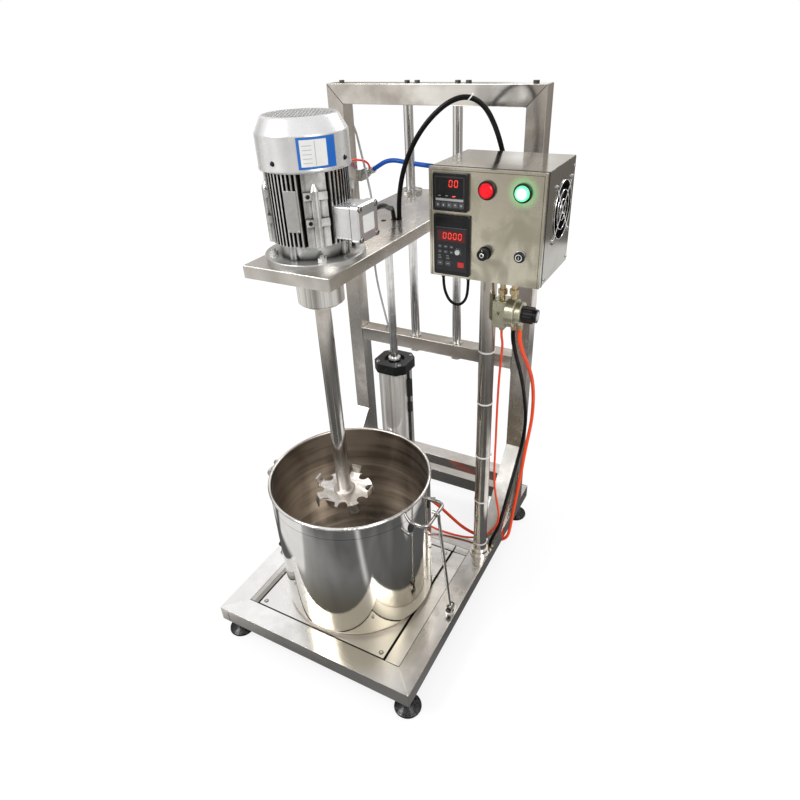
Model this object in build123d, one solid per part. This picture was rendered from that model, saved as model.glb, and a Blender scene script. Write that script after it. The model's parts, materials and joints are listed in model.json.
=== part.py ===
from build123d import *
from math import atan2, cos, degrees, hypot, radians, sin, sqrt, tan
import os

# High-speed disperser on a stainless portal frame with a pneumatic lift.
# Millimetres. X runs to the machine's right, Y to its back, Z up from the floor.
# The model is built about the machine's own centre plane and moved sideways at the end,
# so that the origin lies on the floor in the middle of the whole outline.

# General clearances
running_gap = 0.05
free_gap = 0.3

# Base frame
base_width = 590.0
base_depth = 862.0
base_top = 110.0
rail_width = 58.0
rail_height = 45.0
rail_wall = 2.0
crossmember_front = 67.0
crossmember_depth = 45.0

# Levelling feet
foot_radius = 35.0
foot_height = 22.0
foot_stem_radius = 7.0
foot_inset_x = 25.0
foot_inset_y = 36.0
foot_nut_height = 10.0

# Tray that the pail stands on
tray_thickness = 3.0
tray_gap = 2.0
ledge_reach = 14.0
ledge_thickness = 4.0
side_strip_width = 43.0
side_border_width = 27.0
rear_border_width = 25.0
tray_left = rail_width + side_border_width + tray_gap - base_width / 2
tray_right = base_width / 2 - rail_width - side_strip_width - tray_gap
tray_front = rail_width + tray_gap - base_depth / 2
tray_rear = crossmember_front - rear_border_width - tray_gap
border_drop = 4.0
tray_screw_inset = 15.0

# Portal
tube = 47.0
tube_wall = 2.0
portal_setback = 65.0
portal_front = base_depth / 2 - portal_setback - tube
portal_top = 1327.0
mid_bar_top = 645.0
mid_bar_height = 40.0
low_bar_top = 220.0
low_bar_height = 36.0
brace_top = 344.0
brace_run = 202.0
brace_foot_front = portal_front - brace_run

# Guide rods and linear bushings
guide_radius = 12.5
guide_half_spacing = 68.4
guide_nut_radius = 18.0
guide_nut_height = 10.0
rod_screw_radius = 5.0
rod_screw_depth = 22.0
rod_screw_head = 7.5
rod_screw_head_height = 6.0
spare_screw_offset = 28.0
end_screw_inset = 34.0
bushing_flange_radius = 31.0
bushing_flange_height = 8.0
bushing_body_radius = 20.0
bushing_length = 59.0
bushing_bolt_circle = 25.5
bushing_bolt_radius = 4.5
bushing_bolt_depth = 5.0

# Lift beam
beam_half_width = 102.0
beam_front = -299.0
beam_overhang = 47.5
beam_rear = portal_front + tube / 2 + beam_overhang
beam_top = 1066.0
beam_height = 25.6
beam_wall = 3.0
beam_edge_radius = 2.0
cable_hole = (24.0, 95.0)
cable_hole_radius = 13.0
spare_hole = (2.0, 73.0)
spare_hole_radius = 4.5

# Motor
motor_y = -193.6
flange_radius = 100.0
flange_thickness = 12.4
flange_bolt_circle = 82.5
flange_bolt_radius = 5.0
spigot_radius = 65.0
spigot_depth = 3.0
bell_radius = 71.0
bell_height = 27.0
stator_core_radius = 69.0
stator_radius = 80.0
stator_height = 156.0
stator_bore = 42.0
fin_thickness = 3.0
fin_pitch = 8.6
fins_per_side = 8
pad_width = 44.0
pad_reach = 79.0
lug_reach = 84.0
lug_height = 14.0
lug_levels = (1151.0, 1198.0)
lug_hole_radius = 4.0
lug_hole_offset = 14.0
lug_root = 8.0
pad_rib_radius = 9.0
pad_rib_reach = 77.0
pad_rib_tip = 16.0
cover_tab_width = 10.0
shield_thickness = 8.0
cover_bottom = 1237.0
cover_skirt_radius = 84.5
cover_waist_radius = 86.5
cover_waist = 1296.0
cover_top_radius = 69.0
cover_top = 1321.0
cover_wall = 2.0
cover_lip = 1.2
grille_hole_radius = 2.9
grille_rows = 5
grille_row_pitch = 10.5
cover_screw_angle = 4.0
cover_screw_level = 1253.0
box_lid_face = 130.0
box_lid_thickness = 17.0
box_joint_step = 3.5
box_corner = 8.0
box_half_depth = 35.0
box_bottom = 1111.0
box_top = 1180.0
motor_fan_radius = 66.0
motor_fan_blades = 8
motor_fan_gap = 8.0
motor_fan_depth = 26.0
motor_fan_hub = 20.0
motor_fan_plate = 3.0

# Spindle
shaft_radius = 17.5
motor_shaft_radius = 14.0
fan_shaft_radius = 10.0
housing_radius = 49.0
housing_bottom = 970.0
housing_flange_radius = 62.0
housing_flange_height = 9.0
seal_radius = 38.0
seal_height = 6.0
shaft_collar_radius = 27.0
shaft_collar_height = 7.0
disc_level = 458.0
disc_thickness = 3.0
disc_root_radius = 52.0
disc_radius = 70.0
disc_teeth = 8
tooth_height = 24.0
tooth_root_width = 17.0
tooth_tip_width = 26.0
tooth_lean = 12.0
disc_phase = 6.0
notch_radius = 12.0
disc_dish_radius = 33.0
disc_dish_height = 5.0
disc_bore = 10.0
disc_nut_radius = 17.0
disc_nut_height = 16.0

# Pail
pail_y = -163.7
pail_radius = 204.0
pail_rim = 489.0
pail_wall = 2.0
pail_corner = 14.0
pail_bead = 4.0
pail_floor_step = 150.0
pail_floor_drop = 5.0
handle_level = 440.0
handle_reach = 242.0
handle_half_width = 48.0
handle_bar_radius = 4.5
handle_bend = 16.0

# Hold-down rods
clamp_pivot_x = 280.0
clamp_pivot_z = 128.0
clamp_rod_radius = 4.0
clamp_eye_radius = 9.0
clamp_eye_half = 4.6
clamp_pin_radius = 4.0
clamp_ear_thickness = 4.0
clamp_ear_width = 18.0
clamp_finger = 9.0

# Lift cylinder
cylinder_y = 91.0
cylinder_cap = 94.0
cylinder_cap_chamfer = 20.0
cylinder_top = 697.0
cylinder_head_height = 26.0
cylinder_foot_height = 30.0
cylinder_foot_plate = 10.0
barrel_radius = 45.0
bore_radius = 40.0
piston_rod_radius = 10.0
piston_level = 500.0
piston_thickness = 20.0
piston_flange_radius = 21.0
piston_flange_height = 9.0
gland_radius = 16.0
gland_height = 5.0
recess_radius = 27.0
recess_depth = 7.0

# Control pole and control box
pole_x = 267.0
pole_y = 75.0
pole_radius = 19.0
pole_wall = 2.0
pole_collar_radius = 24.0
pole_collar_height = 20.0
pole_flange_radius = 29.0
pole_flange_height = 5.0
cabinet_left = 175.0
cabinet_right = 414.0
cabinet_front = -33.0
cabinet_rear = 156.0
cabinet_bottom = 997.0
cabinet_top = 1215.0
cabinet_wall = 2.0
cabinet_lid_return = 12.0

# Instruments on the front of the control box
meter_left = 186.5
meter_right = 261.0
meter_bottom = 1134.0
meter_top = 1206.0
meter_proud = 8.0
meter_body_depth = 55.0
drive_left = 186.5
drive_right = 266.0
drive_bottom = 1003.0
drive_top = 1127.0
drive_proud = 6.0
drive_body_depth = 40.0
bezel_edge = 4.0
stop_x = 299.0
start_x = 370.0
button_z = 1178.5
button_radius = 14.0
button_bezel_radius = 18.0
button_bezel_height = 6.0
button_proud = 5.0
button_travel = 2.5
speed_x = 298.0
speed_z = 1057.0
speed_knob_radius = 11.5
speed_knob_height = 15.0
key_x = 371.0
key_z = 1058.0
key_ring_radius = 11.0
key_ring_height = 7.0
key_core_radius = 7.0
bezel_wall = 0.9
button_barrel = 30.0
key_barrel = 26.0
knob_barrel = 20.0
pot_x = 241.5
pot_z = 1054.0
pot_radius = 5.0
pot_height = 7.0

# Cooling fan of the control box, on its right side
fan_y = 85.0
fan_z = 1124.0
fan_frame = 120.0
fan_depth = 38.0
fan_bore = 57.0
fan_screw = 52.5
fan_blade_radius = 55.0
fan_hub_radius = 20.0
fan_blades = 7
guard_wire = 2.2
guard_rings = (57.0, 43.0, 30.0, 16.0)
guard_spokes = 8

# Hand valve under the control box
valve_left = 291.0
valve_width = 32.0
valve_front = 38.0
valve_depth = 40.0
valve_bottom = 864.0
valve_height = 64.0
dial_y = 56.0
dial_z = 899.0
dial_radius = 33.0
dial_length = 20.0
neck_radius = 28.0
neck_length = 14.0
knob_radius = 19.0
knob_length = 24.0
knob_lobes = 6
knob_lobe_radius = 5.0
knob_cap_radius = 15.0
knob_cap_length = 8.0
pipe_radius = 6.5
block_nipple = (307.0, 58.0)
head_nipple_x = 334.0
nipple_nut = 11.0
barb_radius = 6.0
barb_height = 14.0

# Air inlet coupling behind the left upright
coupler_setback = 38.0
coupler_y = portal_front + tube + coupler_setback
coupler_start = (-217.0, coupler_y, 1106.0)
coupler_end = (-251.0, coupler_y, 1086.0)
port_lean = Vector(6.0, -12.0, 12.0)
coupler_radius = 8.0
coupler_ring_radius = 10.5
inlet_bore = 5.0
inlet_depth = 16.0


def block(x, y, z):
    """A box between the given low and high corners."""
    size = [pair[1] - pair[0] for pair in (x, y, z)]
    centre = [(pair[1] + pair[0]) / 2 for pair in (x, y, z)]
    return Pos(*centre) * Box(*size)


def rod_z(x, y, low, high, radius):
    """An upright cylinder."""
    return Pos(x, y, (low + high) / 2) * Cylinder(radius, high - low)


def rod_x(low, high, y, z, radius):
    """A cylinder along X."""
    return Pos((low + high) / 2, y, z) * Rot(0, 90, 0) * Cylinder(radius, high - low)


def rod_y(x, low, high, z, radius):
    """A cylinder along Y."""
    return Pos(x, (low + high) / 2, z) * Rot(90, 0, 0) * Cylinder(radius, high - low)


def rod_between(start, end, radius):
    """A cylinder from one point to another."""
    axis = Plane(origin=start, z_dir=Vector(*end) - Vector(*start))
    return extrude(axis * Circle(radius), (Vector(*end) - Vector(*start)).length)


def outline(points):
    """A flat face inside a closed run of straight edges."""
    return make_face(Polyline(*points, close=True))


def prism_z(points, low, high):
    """An outline in plan, carried up from low to high."""
    return extrude(Plane.XY.offset(low) * outline(points), high - low)


def prism_y(points, low, high):
    """An outline in front view (X, Z), carried back from low to high."""
    front_view = Plane((0, low, 0), x_dir=(1, 0, 0), z_dir=(0, -1, 0))
    return extrude(front_view * outline(points), low - high)


def prism_x(points, low, high):
    """An outline in side view (Y, Z), carried across from low to high."""
    side_view = Plane((low, 0, 0), x_dir=(0, 1, 0), z_dir=(1, 0, 0))
    return extrude(side_view * outline(points), high - low)


def turned(points, x, y):
    """A profile of (radius, height) points turned about an upright axis."""
    profile = Plane.XZ * outline(points)
    return Pos(x, y, 0) * revolve(profile, Axis.Z)


def hexagon(x, y, low, high, radius):
    """A hexagonal nut blank, measured across its corners."""
    return Pos(x, y, low) * extrude(RegularPolygon(radius, 6), high - low)


def cord(points, radius):
    """A round cord along straight runs that are joined by tangent arcs."""
    stops = [Vector(*point) for point in points]
    radii = []
    for before, corner, after in zip(stops, stops[1:], stops[2:]):
        turn = radians((corner - before).get_angle(after - corner))
        shorter = min((corner - before).length, (after - corner).length)
        radii.append(0.45 * shorter / tan(turn / 2))
    print("cord", round(2 * radius, 1), "bend radii", [round(bend) for bend in radii])
    path = FilletPolyline(*stops, radius=radii)
    start = Plane(origin=path @ 0, z_dir=path % 0)
    return sweep(start * Circle(radius), path)


def side_rail(side):
    """A long rail of the base, mitred into the end rails."""
    half, depth = base_width / 2, base_depth / 2
    low, high = base_top - rail_height, base_top

    def plan(wall):
        outer, inner = half - wall, half - rail_width + wall
        front, back = -depth + wall, depth - wall
        step = rail_width - 2 * wall
        return [(side * outer, front), (side * outer, back),
                (side * inner, back - step), (side * inner, front + step)]

    return prism_z(plan(0), low, high) - prism_z(plan(rail_wall), low + rail_wall, high - rail_wall)


def end_rail(end):
    """A short rail of the base, mitred into the side rails."""
    half, depth = base_width / 2, base_depth / 2
    low, high = base_top - rail_height, base_top

    def plan(wall):
        outer, inner = depth - wall, depth - rail_width + wall
        reach = half - wall
        step = rail_width - 2 * wall
        return [(-reach, end * outer), (reach, end * outer),
                (reach - step, end * inner), (step - reach, end * inner)]

    return prism_z(plan(0), low, high) - prism_z(plan(rail_wall), low + rail_wall, high - rail_wall)


rail_inner = base_width / 2 - rail_width
front_inner = -base_depth / 2 + rail_width
rail_bottom = base_top - rail_height
crossmember_rear = crossmember_front + crossmember_depth


def base_cross_rails():
    """The two end rails and the crossmember under the lift cylinder."""
    bar = block((-rail_inner, rail_inner), (crossmember_front, crossmember_rear), (rail_bottom, base_top))
    hollow = block((-rail_inner, rail_inner),
                   (crossmember_front + rail_wall, crossmember_rear - rail_wall),
                   (rail_bottom + rail_wall, base_top - rail_wall))
    return [end_rail(-1), end_rail(1), bar - hollow]


def ledge_bar(along, fixed, inner, low, high):
    """A border bar with a ledge under the tray; fixed is its rail side, inner its tray side."""
    toward = 1 if inner > fixed else -1
    ledge_top = base_top - tray_thickness
    tip = inner + toward * ledge_reach
    ledge_low = ledge_top - ledge_thickness
    drop_start = inner - toward * min(abs(inner - fixed) * 0.6, 16.0)
    profile = [(fixed, ledge_low), (tip, ledge_low), (tip, ledge_top), (inner, ledge_top),
               (inner, base_top - border_drop / 2), (drop_start, base_top), (fixed, base_top)]
    if along == "y":
        return prism_y(profile, low, high)
    return prism_x(profile, low, high)


def tray_frame():
    """Bars round the tray: left, right and rear borders and the front ledge."""
    left = ledge_bar("y", -rail_inner, tray_left - tray_gap, front_inner, tray_rear + tray_gap)
    right = ledge_bar("y", tray_right + tray_gap + side_strip_width, tray_right + tray_gap,
                      front_inner, tray_rear + tray_gap)
    rear = ledge_bar("x", crossmember_front, tray_rear + tray_gap, -rail_inner, rail_inner)
    rear -= block((-rail_inner, tray_left - tray_gap + ledge_reach), (front_inner, tray_rear + tray_gap),
                  (rail_bottom, base_top))
    rear -= block((tray_right + tray_gap - ledge_reach, rail_inner), (front_inner, tray_rear + tray_gap),
                  (rail_bottom, base_top))
    ledge_top = base_top - tray_thickness
    front = block((tray_left + ledge_reach, tray_right - ledge_reach), (front_inner, front_inner + ledge_reach),
                  (ledge_top - ledge_thickness, ledge_top))
    return [left, right, rear, front]


def tray_screw_points():
    """Plan positions of the four tray screws."""
    return [(x, y) for x in (tray_left + tray_screw_inset, tray_right - tray_screw_inset)
            for y in (tray_front + tray_screw_inset, tray_rear - tray_screw_inset)]


def pail_tray():
    """The loose plate that the pail stands on."""
    return block((tray_left, tray_right), (tray_front, tray_rear), (base_top - tray_thickness, base_top))


def levelling_feet():
    """Four feet, each a black pad and a threaded stem with its lock nut."""
    pieces = []
    stem_top = rail_bottom + 6
    for side in (-1, 1):
        for end in (-1, 1):
            x = side * (base_width / 2 - foot_inset_x)
            y = end * (base_depth / 2 - foot_inset_y)
            pad = turned([(0, 0), (foot_radius - 2, 0), (foot_radius, 4), (foot_radius - 1, 9),
                          (foot_radius * 0.55, foot_height - 4), (foot_radius * 0.42, foot_height),
                          (0, foot_height)], x, y)
            socket = rod_z(x, y, foot_height / 2, foot_height, foot_stem_radius)
            stem = rod_z(x, y, foot_height / 2, stem_top, foot_stem_radius)
            nut = hexagon(x, y, rail_bottom - foot_nut_height, rail_bottom, foot_stem_radius * 1.9)
            stem += nut
            pieces += [pad - socket, stem]
    return pieces


def foot_holes():
    """The threaded holes in the side rails that take the feet."""
    return [rod_z(side * (base_width / 2 - foot_inset_x), end * (base_depth / 2 - foot_inset_y),
                  rail_bottom - 1, rail_bottom + 7, foot_stem_radius) for side in (-1, 1) for end in (-1, 1)]


def base_side_rails():
    """Left and right rails with the holes for the feet."""
    rails = []
    for side in (-1, 1):
        rail = side_rail(side)
        for hole in foot_holes():
            rail -= hole
        rails.append(rail)
    return rails


portal_rear = portal_front + tube
portal_inner = base_width / 2 - tube
guide_y = portal_front + tube / 2


def uprights():
    """The two posts of the portal, mitred at their tops."""
    half = base_width / 2
    posts = []
    for side in (-1, 1):
        outer = [(side * half, base_top), (side * half, portal_top),
                 (side * portal_inner, portal_top - tube), (side * portal_inner, base_top)]
        inner = [(side * (half - tube_wall), base_top), (side * (half - tube_wall), portal_top - tube_wall),
                 (side * (portal_inner + tube_wall), portal_top - tube + tube_wall),
                 (side * (portal_inner + tube_wall), base_top)]
        post = prism_y(outer, portal_front, portal_rear)
        posts.append(post - prism_y(inner, portal_front + tube_wall, portal_rear - tube_wall))
    return posts


def guide_hole(side):
    """The stepped hole for one guide rod: its own size, then the screw's through the top wall."""
    hole = rod_z(side * guide_half_spacing, guide_y, mid_bar_top - mid_bar_height - 1, portal_top - tube_wall,
                 guide_radius + 0.01)
    return hole + rod_z(side * guide_half_spacing, guide_y, portal_top - tube_wall - 1, portal_top + 1,
                        rod_screw_radius + 0.01)


def top_crossbar():
    """The portal's top tube, mitred at both ends."""
    half = base_width / 2
    outer = [(-half, portal_top), (half, portal_top), (portal_inner, portal_top - tube),
             (-portal_inner, portal_top - tube)]
    inner = [(-half + tube_wall, portal_top - tube_wall), (half - tube_wall, portal_top - tube_wall),
             (portal_inner + tube_wall, portal_top - tube + tube_wall),
             (-portal_inner - tube_wall, portal_top - tube + tube_wall)]
    bar = prism_y(outer, portal_front, portal_rear)
    bar -= prism_y(inner, portal_front + tube_wall, portal_rear - tube_wall)
    return bar - guide_hole(-1) - guide_hole(1)


def crossbar(top, height):
    """A straight tube between the posts."""
    bar = block((-portal_inner, portal_inner), (portal_front, portal_rear), (top - height, top))
    return bar - block((-portal_inner, portal_inner), (portal_front + tube_wall, portal_rear - tube_wall),
                       (top - height + tube_wall, top - tube_wall))


def middle_crossbars():
    """The middle bar that carries the guide rods, and the bar below it."""
    middle = crossbar(mid_bar_top, mid_bar_height) - guide_hole(-1) - guide_hole(1)
    return [middle, crossbar(low_bar_top, low_bar_height)]


def braces():
    """The diagonal tubes from the posts down to the side rails."""
    rise, run = brace_top - base_top, portal_front - brace_foot_front
    slope = atan2(rise, run)
    foot_length, top_length = tube / sin(slope), tube / cos(slope)
    outer = [(brace_foot_front, base_top), (portal_front, brace_top), (portal_front, brace_top - top_length),
             (brace_foot_front + foot_length, base_top)]
    foot_wall, top_wall = tube_wall / sin(slope), tube_wall / cos(slope)
    inner = [(brace_foot_front + foot_wall, base_top), (portal_front, brace_top - top_wall),
             (portal_front, brace_top - top_length + top_wall),
             (brace_foot_front + foot_length - foot_wall, base_top)]
    pieces = []
    for side in (-1, 1):
        low, high = sorted((side * portal_inner, side * base_width / 2))
        pieces.append(prism_x(outer, low, high) - prism_x(inner, low + tube_wall, high - tube_wall))
    return pieces


def guide_rods():
    """Two hardened rods that the carriage slides on."""
    low = mid_bar_top - mid_bar_height - guide_nut_height - 2
    high = portal_top - tube_wall
    rods = []
    for side in (-1, 1):
        rod = rod_z(side * guide_half_spacing, guide_y, low, high, guide_radius)
        rod = chamfer(rod.edges().filter_by(GeomType.CIRCLE), 1)
        thread = rod_z(side * guide_half_spacing, guide_y, high - rod_screw_depth, high, rod_screw_radius + 0.01)
        rods.append(rod - thread)
    return rods


def frame_fasteners():
    """Rod nuts and washers, the screws in the top bar, and the tray and fan screws."""
    pieces = []
    low = mid_bar_top - mid_bar_height
    for side in (-1, 1):
        x = side * guide_half_spacing
        bore = rod_z(x, guide_y, low - 20, portal_top - tube_wall, guide_radius + 0.01)
        nut = hexagon(x, guide_y, low - guide_nut_height, low, guide_nut_radius)
        pieces.append(nut - bore)
        washer = rod_z(x, guide_y, mid_bar_top, mid_bar_top + 3, guide_nut_radius)
        pieces.append(washer - bore)
        head = hexagon(x, guide_y, portal_top, portal_top + rod_screw_head_height, rod_screw_head)
        shank = rod_z(x, guide_y, portal_top - tube_wall - rod_screw_depth + 1, portal_top, rod_screw_radius)
        pieces.append(head + shank)
        pieces.append(hexagon(x + spare_screw_offset, guide_y, portal_top, portal_top + rod_screw_head_height,
                              rod_screw_head))
        pieces.append(hexagon(side * (base_width / 2 - end_screw_inset), guide_y, portal_top,
                              portal_top + rod_screw_head_height, rod_screw_head))
    for x, y in tray_screw_points():
        pieces.append(rod_z(x, y, base_top, base_top + 1.6, 4.0))
    for y, z in fan_screw_points():
        seat = cabinet_right + guard_wire - 0.8
        screw = rod_x(seat, seat + 2.0, y, z, 4.0)
        pieces.append(screw + rod_x(cabinet_right, seat, y, z, 2.2))
    return pieces


def control_pole():
    """The round post on the right rail, with its foot collar."""
    pole = rod_z(pole_x, pole_y, base_top, cabinet_bottom, pole_radius)
    pole -= rod_z(pole_x, pole_y, base_top, cabinet_bottom, pole_radius - pole_wall)
    flange = rod_z(pole_x, pole_y, base_top, base_top + pole_flange_height, pole_flange_radius)
    sleeve = rod_z(pole_x, pole_y, base_top, base_top + pole_collar_height, pole_collar_radius)
    collar_top = base_top + pole_collar_height
    rail_edge = block((base_width / 2, base_width), (pole_y - 2 * pole_radius, pole_y + 2 * pole_radius),
                      (base_top, collar_top))
    collar = flange + sleeve - rod_z(pole_x, pole_y, base_top, collar_top, pole_radius)
    return [pole, collar - rail_edge]


def octagon(size, cut):
    """A square plan with its corners cut off."""
    half, short = size / 2, size / 2 - cut
    return [(short, -half), (half, -short), (half, short), (short, half),
            (-short, half), (-half, short), (-half, -short), (-short, -half)]


cylinder_base = base_top + cylinder_foot_plate
barrel_low = cylinder_base + cylinder_foot_height
barrel_high = cylinder_top - cylinder_head_height
port_level = cylinder_base + cylinder_foot_height / 2
rear_port = (0.0, cylinder_y + cylinder_cap / 2 + 12, port_level)
side_port = (cylinder_cap / 2 + 12, cylinder_y, port_level)


def cap_blank(low, high):
    """A cylinder end cap before its bores."""
    cap = Pos(0, cylinder_y, 0) * prism_z(octagon(cylinder_cap, cylinder_cap_chamfer), low, high)
    return fillet(cap.edges().filter_by(Axis.Z), 5)


def cylinder_head():
    """The black upper cap with its recess and the rod bore."""
    cap = cap_blank(barrel_high, cylinder_top)
    ring = rod_z(0, cylinder_y, cylinder_top - recess_depth, cylinder_top, recess_radius)
    ring -= rod_z(0, cylinder_y, cylinder_top - recess_depth, cylinder_top, gland_radius)
    return cap - ring - rod_z(0, cylinder_y, barrel_high, cylinder_top, piston_rod_radius + running_gap)


def cylinder_barrel():
    """The round stainless barrel, and the bright wiper ring round the piston rod."""
    barrel = rod_z(0, cylinder_y, barrel_low, barrel_high, barrel_radius)
    ring = rod_z(0, cylinder_y, cylinder_top, cylinder_top + gland_height, gland_radius)
    rod = rod_z(0, cylinder_y, cylinder_top, cylinder_top + gland_height, piston_rod_radius + running_gap)
    return [barrel - rod_z(0, cylinder_y, barrel_low, barrel_high, bore_radius), ring - rod]


def cylinder_foot():
    """The lower cap, its mounting plate and the two air ports."""
    cap = cap_blank(cylinder_base, barrel_low)
    plate = block((-cylinder_cap / 2 - 16, cylinder_cap / 2 + 16), (crossmember_front, crossmember_rear),
                  (base_top, cylinder_base))
    rear = rod_y(0, cylinder_y + cylinder_cap / 2, rear_port[1], port_level, 8)
    side = rod_x(cylinder_cap / 2, side_port[0], cylinder_y, port_level, 6)
    spare = rod_x(-side_port[0], -cylinder_cap / 2, cylinder_y, port_level, 6)
    return [cap + rear + side + spare, plate]


def piston_rod():
    """The piston, its rod and the flange that bolts under the lift beam."""
    beam_bottom = beam_top - beam_height
    rod = rod_z(0, cylinder_y, piston_level, beam_bottom, piston_rod_radius)
    piston = rod_z(0, cylinder_y, piston_level - piston_thickness, piston_level, bore_radius - running_gap)
    flange = rod_z(0, cylinder_y, beam_bottom - piston_flange_height, beam_bottom, piston_flange_radius)
    return rod + piston + flange


def lift_beam():
    """The folded stainless beam that carries the motor."""
    low = beam_top - beam_height
    beam = block((-beam_half_width, beam_half_width), (beam_front, beam_rear), (low, beam_top))
    beam = fillet(beam.edges().filter_by(Axis.Z) + beam.edges().group_by(Axis.Z)[-1], beam_edge_radius)
    beam -= block((beam_wall - beam_half_width, beam_half_width - beam_wall),
                  (beam_front + beam_wall, beam_rear - beam_wall), (low + beam_wall, beam_top - beam_wall))
    beam -= rod_z(0, motor_y, beam_top - beam_wall - 1, beam_top + 1, spigot_radius + 0.05)
    beam -= rod_z(0, motor_y, low - 1, low + beam_wall + 1, shaft_radius + 4)
    for side in (-1, 1):
        beam -= rod_z(side * guide_half_spacing, guide_y, low - 1, beam_top + 1, bushing_body_radius + 0.02)
    beam -= rod_z(*cable_hole, beam_top - beam_wall - 1, beam_top + 1, cable_hole_radius)
    return beam - rod_z(*spare_hole, beam_top - beam_wall - 1, beam_top + 1, spare_hole_radius)


def guide_bushings():
    """Two flanged linear bushings that run on the guide rods."""
    pieces = []
    for side in (-1, 1):
        x = side * guide_half_spacing
        top = beam_top + bushing_flange_height
        body = rod_z(x, guide_y, beam_top, top, bushing_flange_radius)
        body += rod_z(x, guide_y, top - bushing_length, beam_top, bushing_body_radius)
        for index in range(6):
            angle = radians(30 + 60 * index)
            body -= rod_z(x + bushing_bolt_circle * cos(angle), guide_y + bushing_bolt_circle * sin(angle),
                          top - bushing_bolt_depth, top, bushing_bolt_radius)
        pieces.append(body - rod_z(x, guide_y, top - bushing_length, top, guide_radius + running_gap))
    return pieces


flange_top = beam_top + flange_thickness
stator_low = flange_top + bell_height
stator_high = stator_low + stator_height


def motor_flange():
    """The motor's flange and lower end bell."""
    body = rod_z(0, motor_y, beam_top, flange_top, flange_radius)
    body = chamfer(body.edges().group_by(Axis.Z)[-1], 1.5)
    body += rod_z(0, motor_y, beam_top - spigot_depth, beam_top, spigot_radius)
    body += turned([(0, flange_top), (bell_radius - 4, flange_top), (bell_radius, stator_low), (0, stator_low)],
                   0, motor_y)
    for index in range(4):
        angle = radians(90 * index)
        body += rod_z((bell_radius - 3) * cos(angle), motor_y + (bell_radius - 3) * sin(angle),
                      flange_top, stator_low, 8.5)
        angle += radians(45)
        body -= rod_z(flange_bolt_circle * cos(angle), motor_y + flange_bolt_circle * sin(angle),
                      beam_top, flange_top, flange_bolt_radius)
    return body - rod_z(0, motor_y, beam_top - spigot_depth, stator_low, motor_shaft_radius + running_gap)


def flange_bolts():
    """Four studs and nuts that hold the motor to the beam."""
    pieces = []
    for index in range(4):
        angle = radians(45 + 90 * index)
        x, y = flange_bolt_circle * cos(angle), motor_y + flange_bolt_circle * sin(angle)
        nut = hexagon(x, y, flange_top, flange_top + 8, 9.5)
        pieces.append(nut + rod_z(x, y, beam_top, flange_top + 12, flange_bolt_radius))
    return pieces


def motor_stator():
    """The finned motor body with its four foot pads and banded lugs."""
    section = Circle(stator_core_radius)
    first = -(fins_per_side - 1) / 2 * fin_pitch
    for turn in range(4):
        for index in range(fins_per_side):
            fin = Pos(first + index * fin_pitch, -stator_radius / 2) * Rectangle(fin_thickness, stator_radius)
            section += Rot(0, 0, 90 * turn) * fin
        pad = Pos(0, -pad_reach / 2) * Rectangle(pad_width, pad_reach)
        section += Rot(0, 0, 90 * turn + 45) * pad
    section &= Circle(stator_radius)
    section -= Circle(stator_bore)
    body = Pos(0, motor_y, stator_low) * extrude(section, stator_height)
    rib_top = lug_levels[1] + lug_height / 2
    rib = rod_z(0, -pad_rib_reach, stator_low, rib_top, pad_rib_radius)
    rib += Pos(0, -pad_rib_reach, rib_top + pad_rib_tip / 2) * Cone(pad_rib_radius, 1, pad_rib_tip)
    for turn in range(4):
        place = Pos(0, motor_y, 0) * Rot(0, 0, 90 * turn + 45)
        body += place * rib
        for level in lug_levels:
            lug = block((-pad_width / 2, pad_width / 2), (-lug_reach, -pad_reach + lug_root),
                        (level - lug_height / 2, level + lug_height / 2))
            lug -= rod_y(-lug_hole_offset, -lug_reach, -pad_reach + lug_root, level, lug_hole_radius)
            body += place * lug
        tab = block((stator_core_radius, cover_skirt_radius - cover_wall - free_gap),
                    (-cover_tab_width / 2, cover_tab_width / 2),
                    (cover_screw_level - cover_tab_width / 2, stator_high))
        body += Pos(0, motor_y, 0) * Rot(0, 0, 90 * turn + cover_screw_angle) * tab
    shield = rod_z(0, motor_y, stator_high - shield_thickness, stator_high, stator_bore + 2)
    shield -= rod_z(0, motor_y, stator_high - shield_thickness, stator_high, fan_shaft_radius + running_gap)
    return body + shield


def fan_cover():
    """The motor's fan cover with its conical shoulder and round-hole grille."""
    slope = (cover_waist_radius - cover_top_radius) / (cover_top - cover_waist)
    wall = cover_wall
    profile = [(cover_skirt_radius - wall, cover_bottom), (cover_skirt_radius + cover_lip, cover_bottom),
               (cover_skirt_radius + cover_lip, cover_bottom + 5), (cover_skirt_radius, cover_bottom + 6),
               (cover_waist_radius, cover_waist), (cover_top_radius, cover_top), (0, cover_top),
               (0, cover_top - wall), (cover_top_radius - wall * slope, cover_top - wall),
               (cover_waist_radius - wall, cover_waist - 1), (cover_skirt_radius - wall, cover_bottom + 6)]
    cover = turned(profile, 0, motor_y)
    holes = []
    for row in range(1, grille_rows + 1):
        count = 6 * row
        for index in range(count):
            angle = radians(360 * index / count + 12 * row)
            place = Pos(row * grille_row_pitch * cos(angle), row * grille_row_pitch * sin(angle))
            holes.append(place * RegularPolygon(grille_hole_radius, 6))
    cutter = extrude(Sketch() + holes, 3 * wall)
    return cover - Pos(0, motor_y, cover_top - 2 * wall) * cutter


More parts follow.
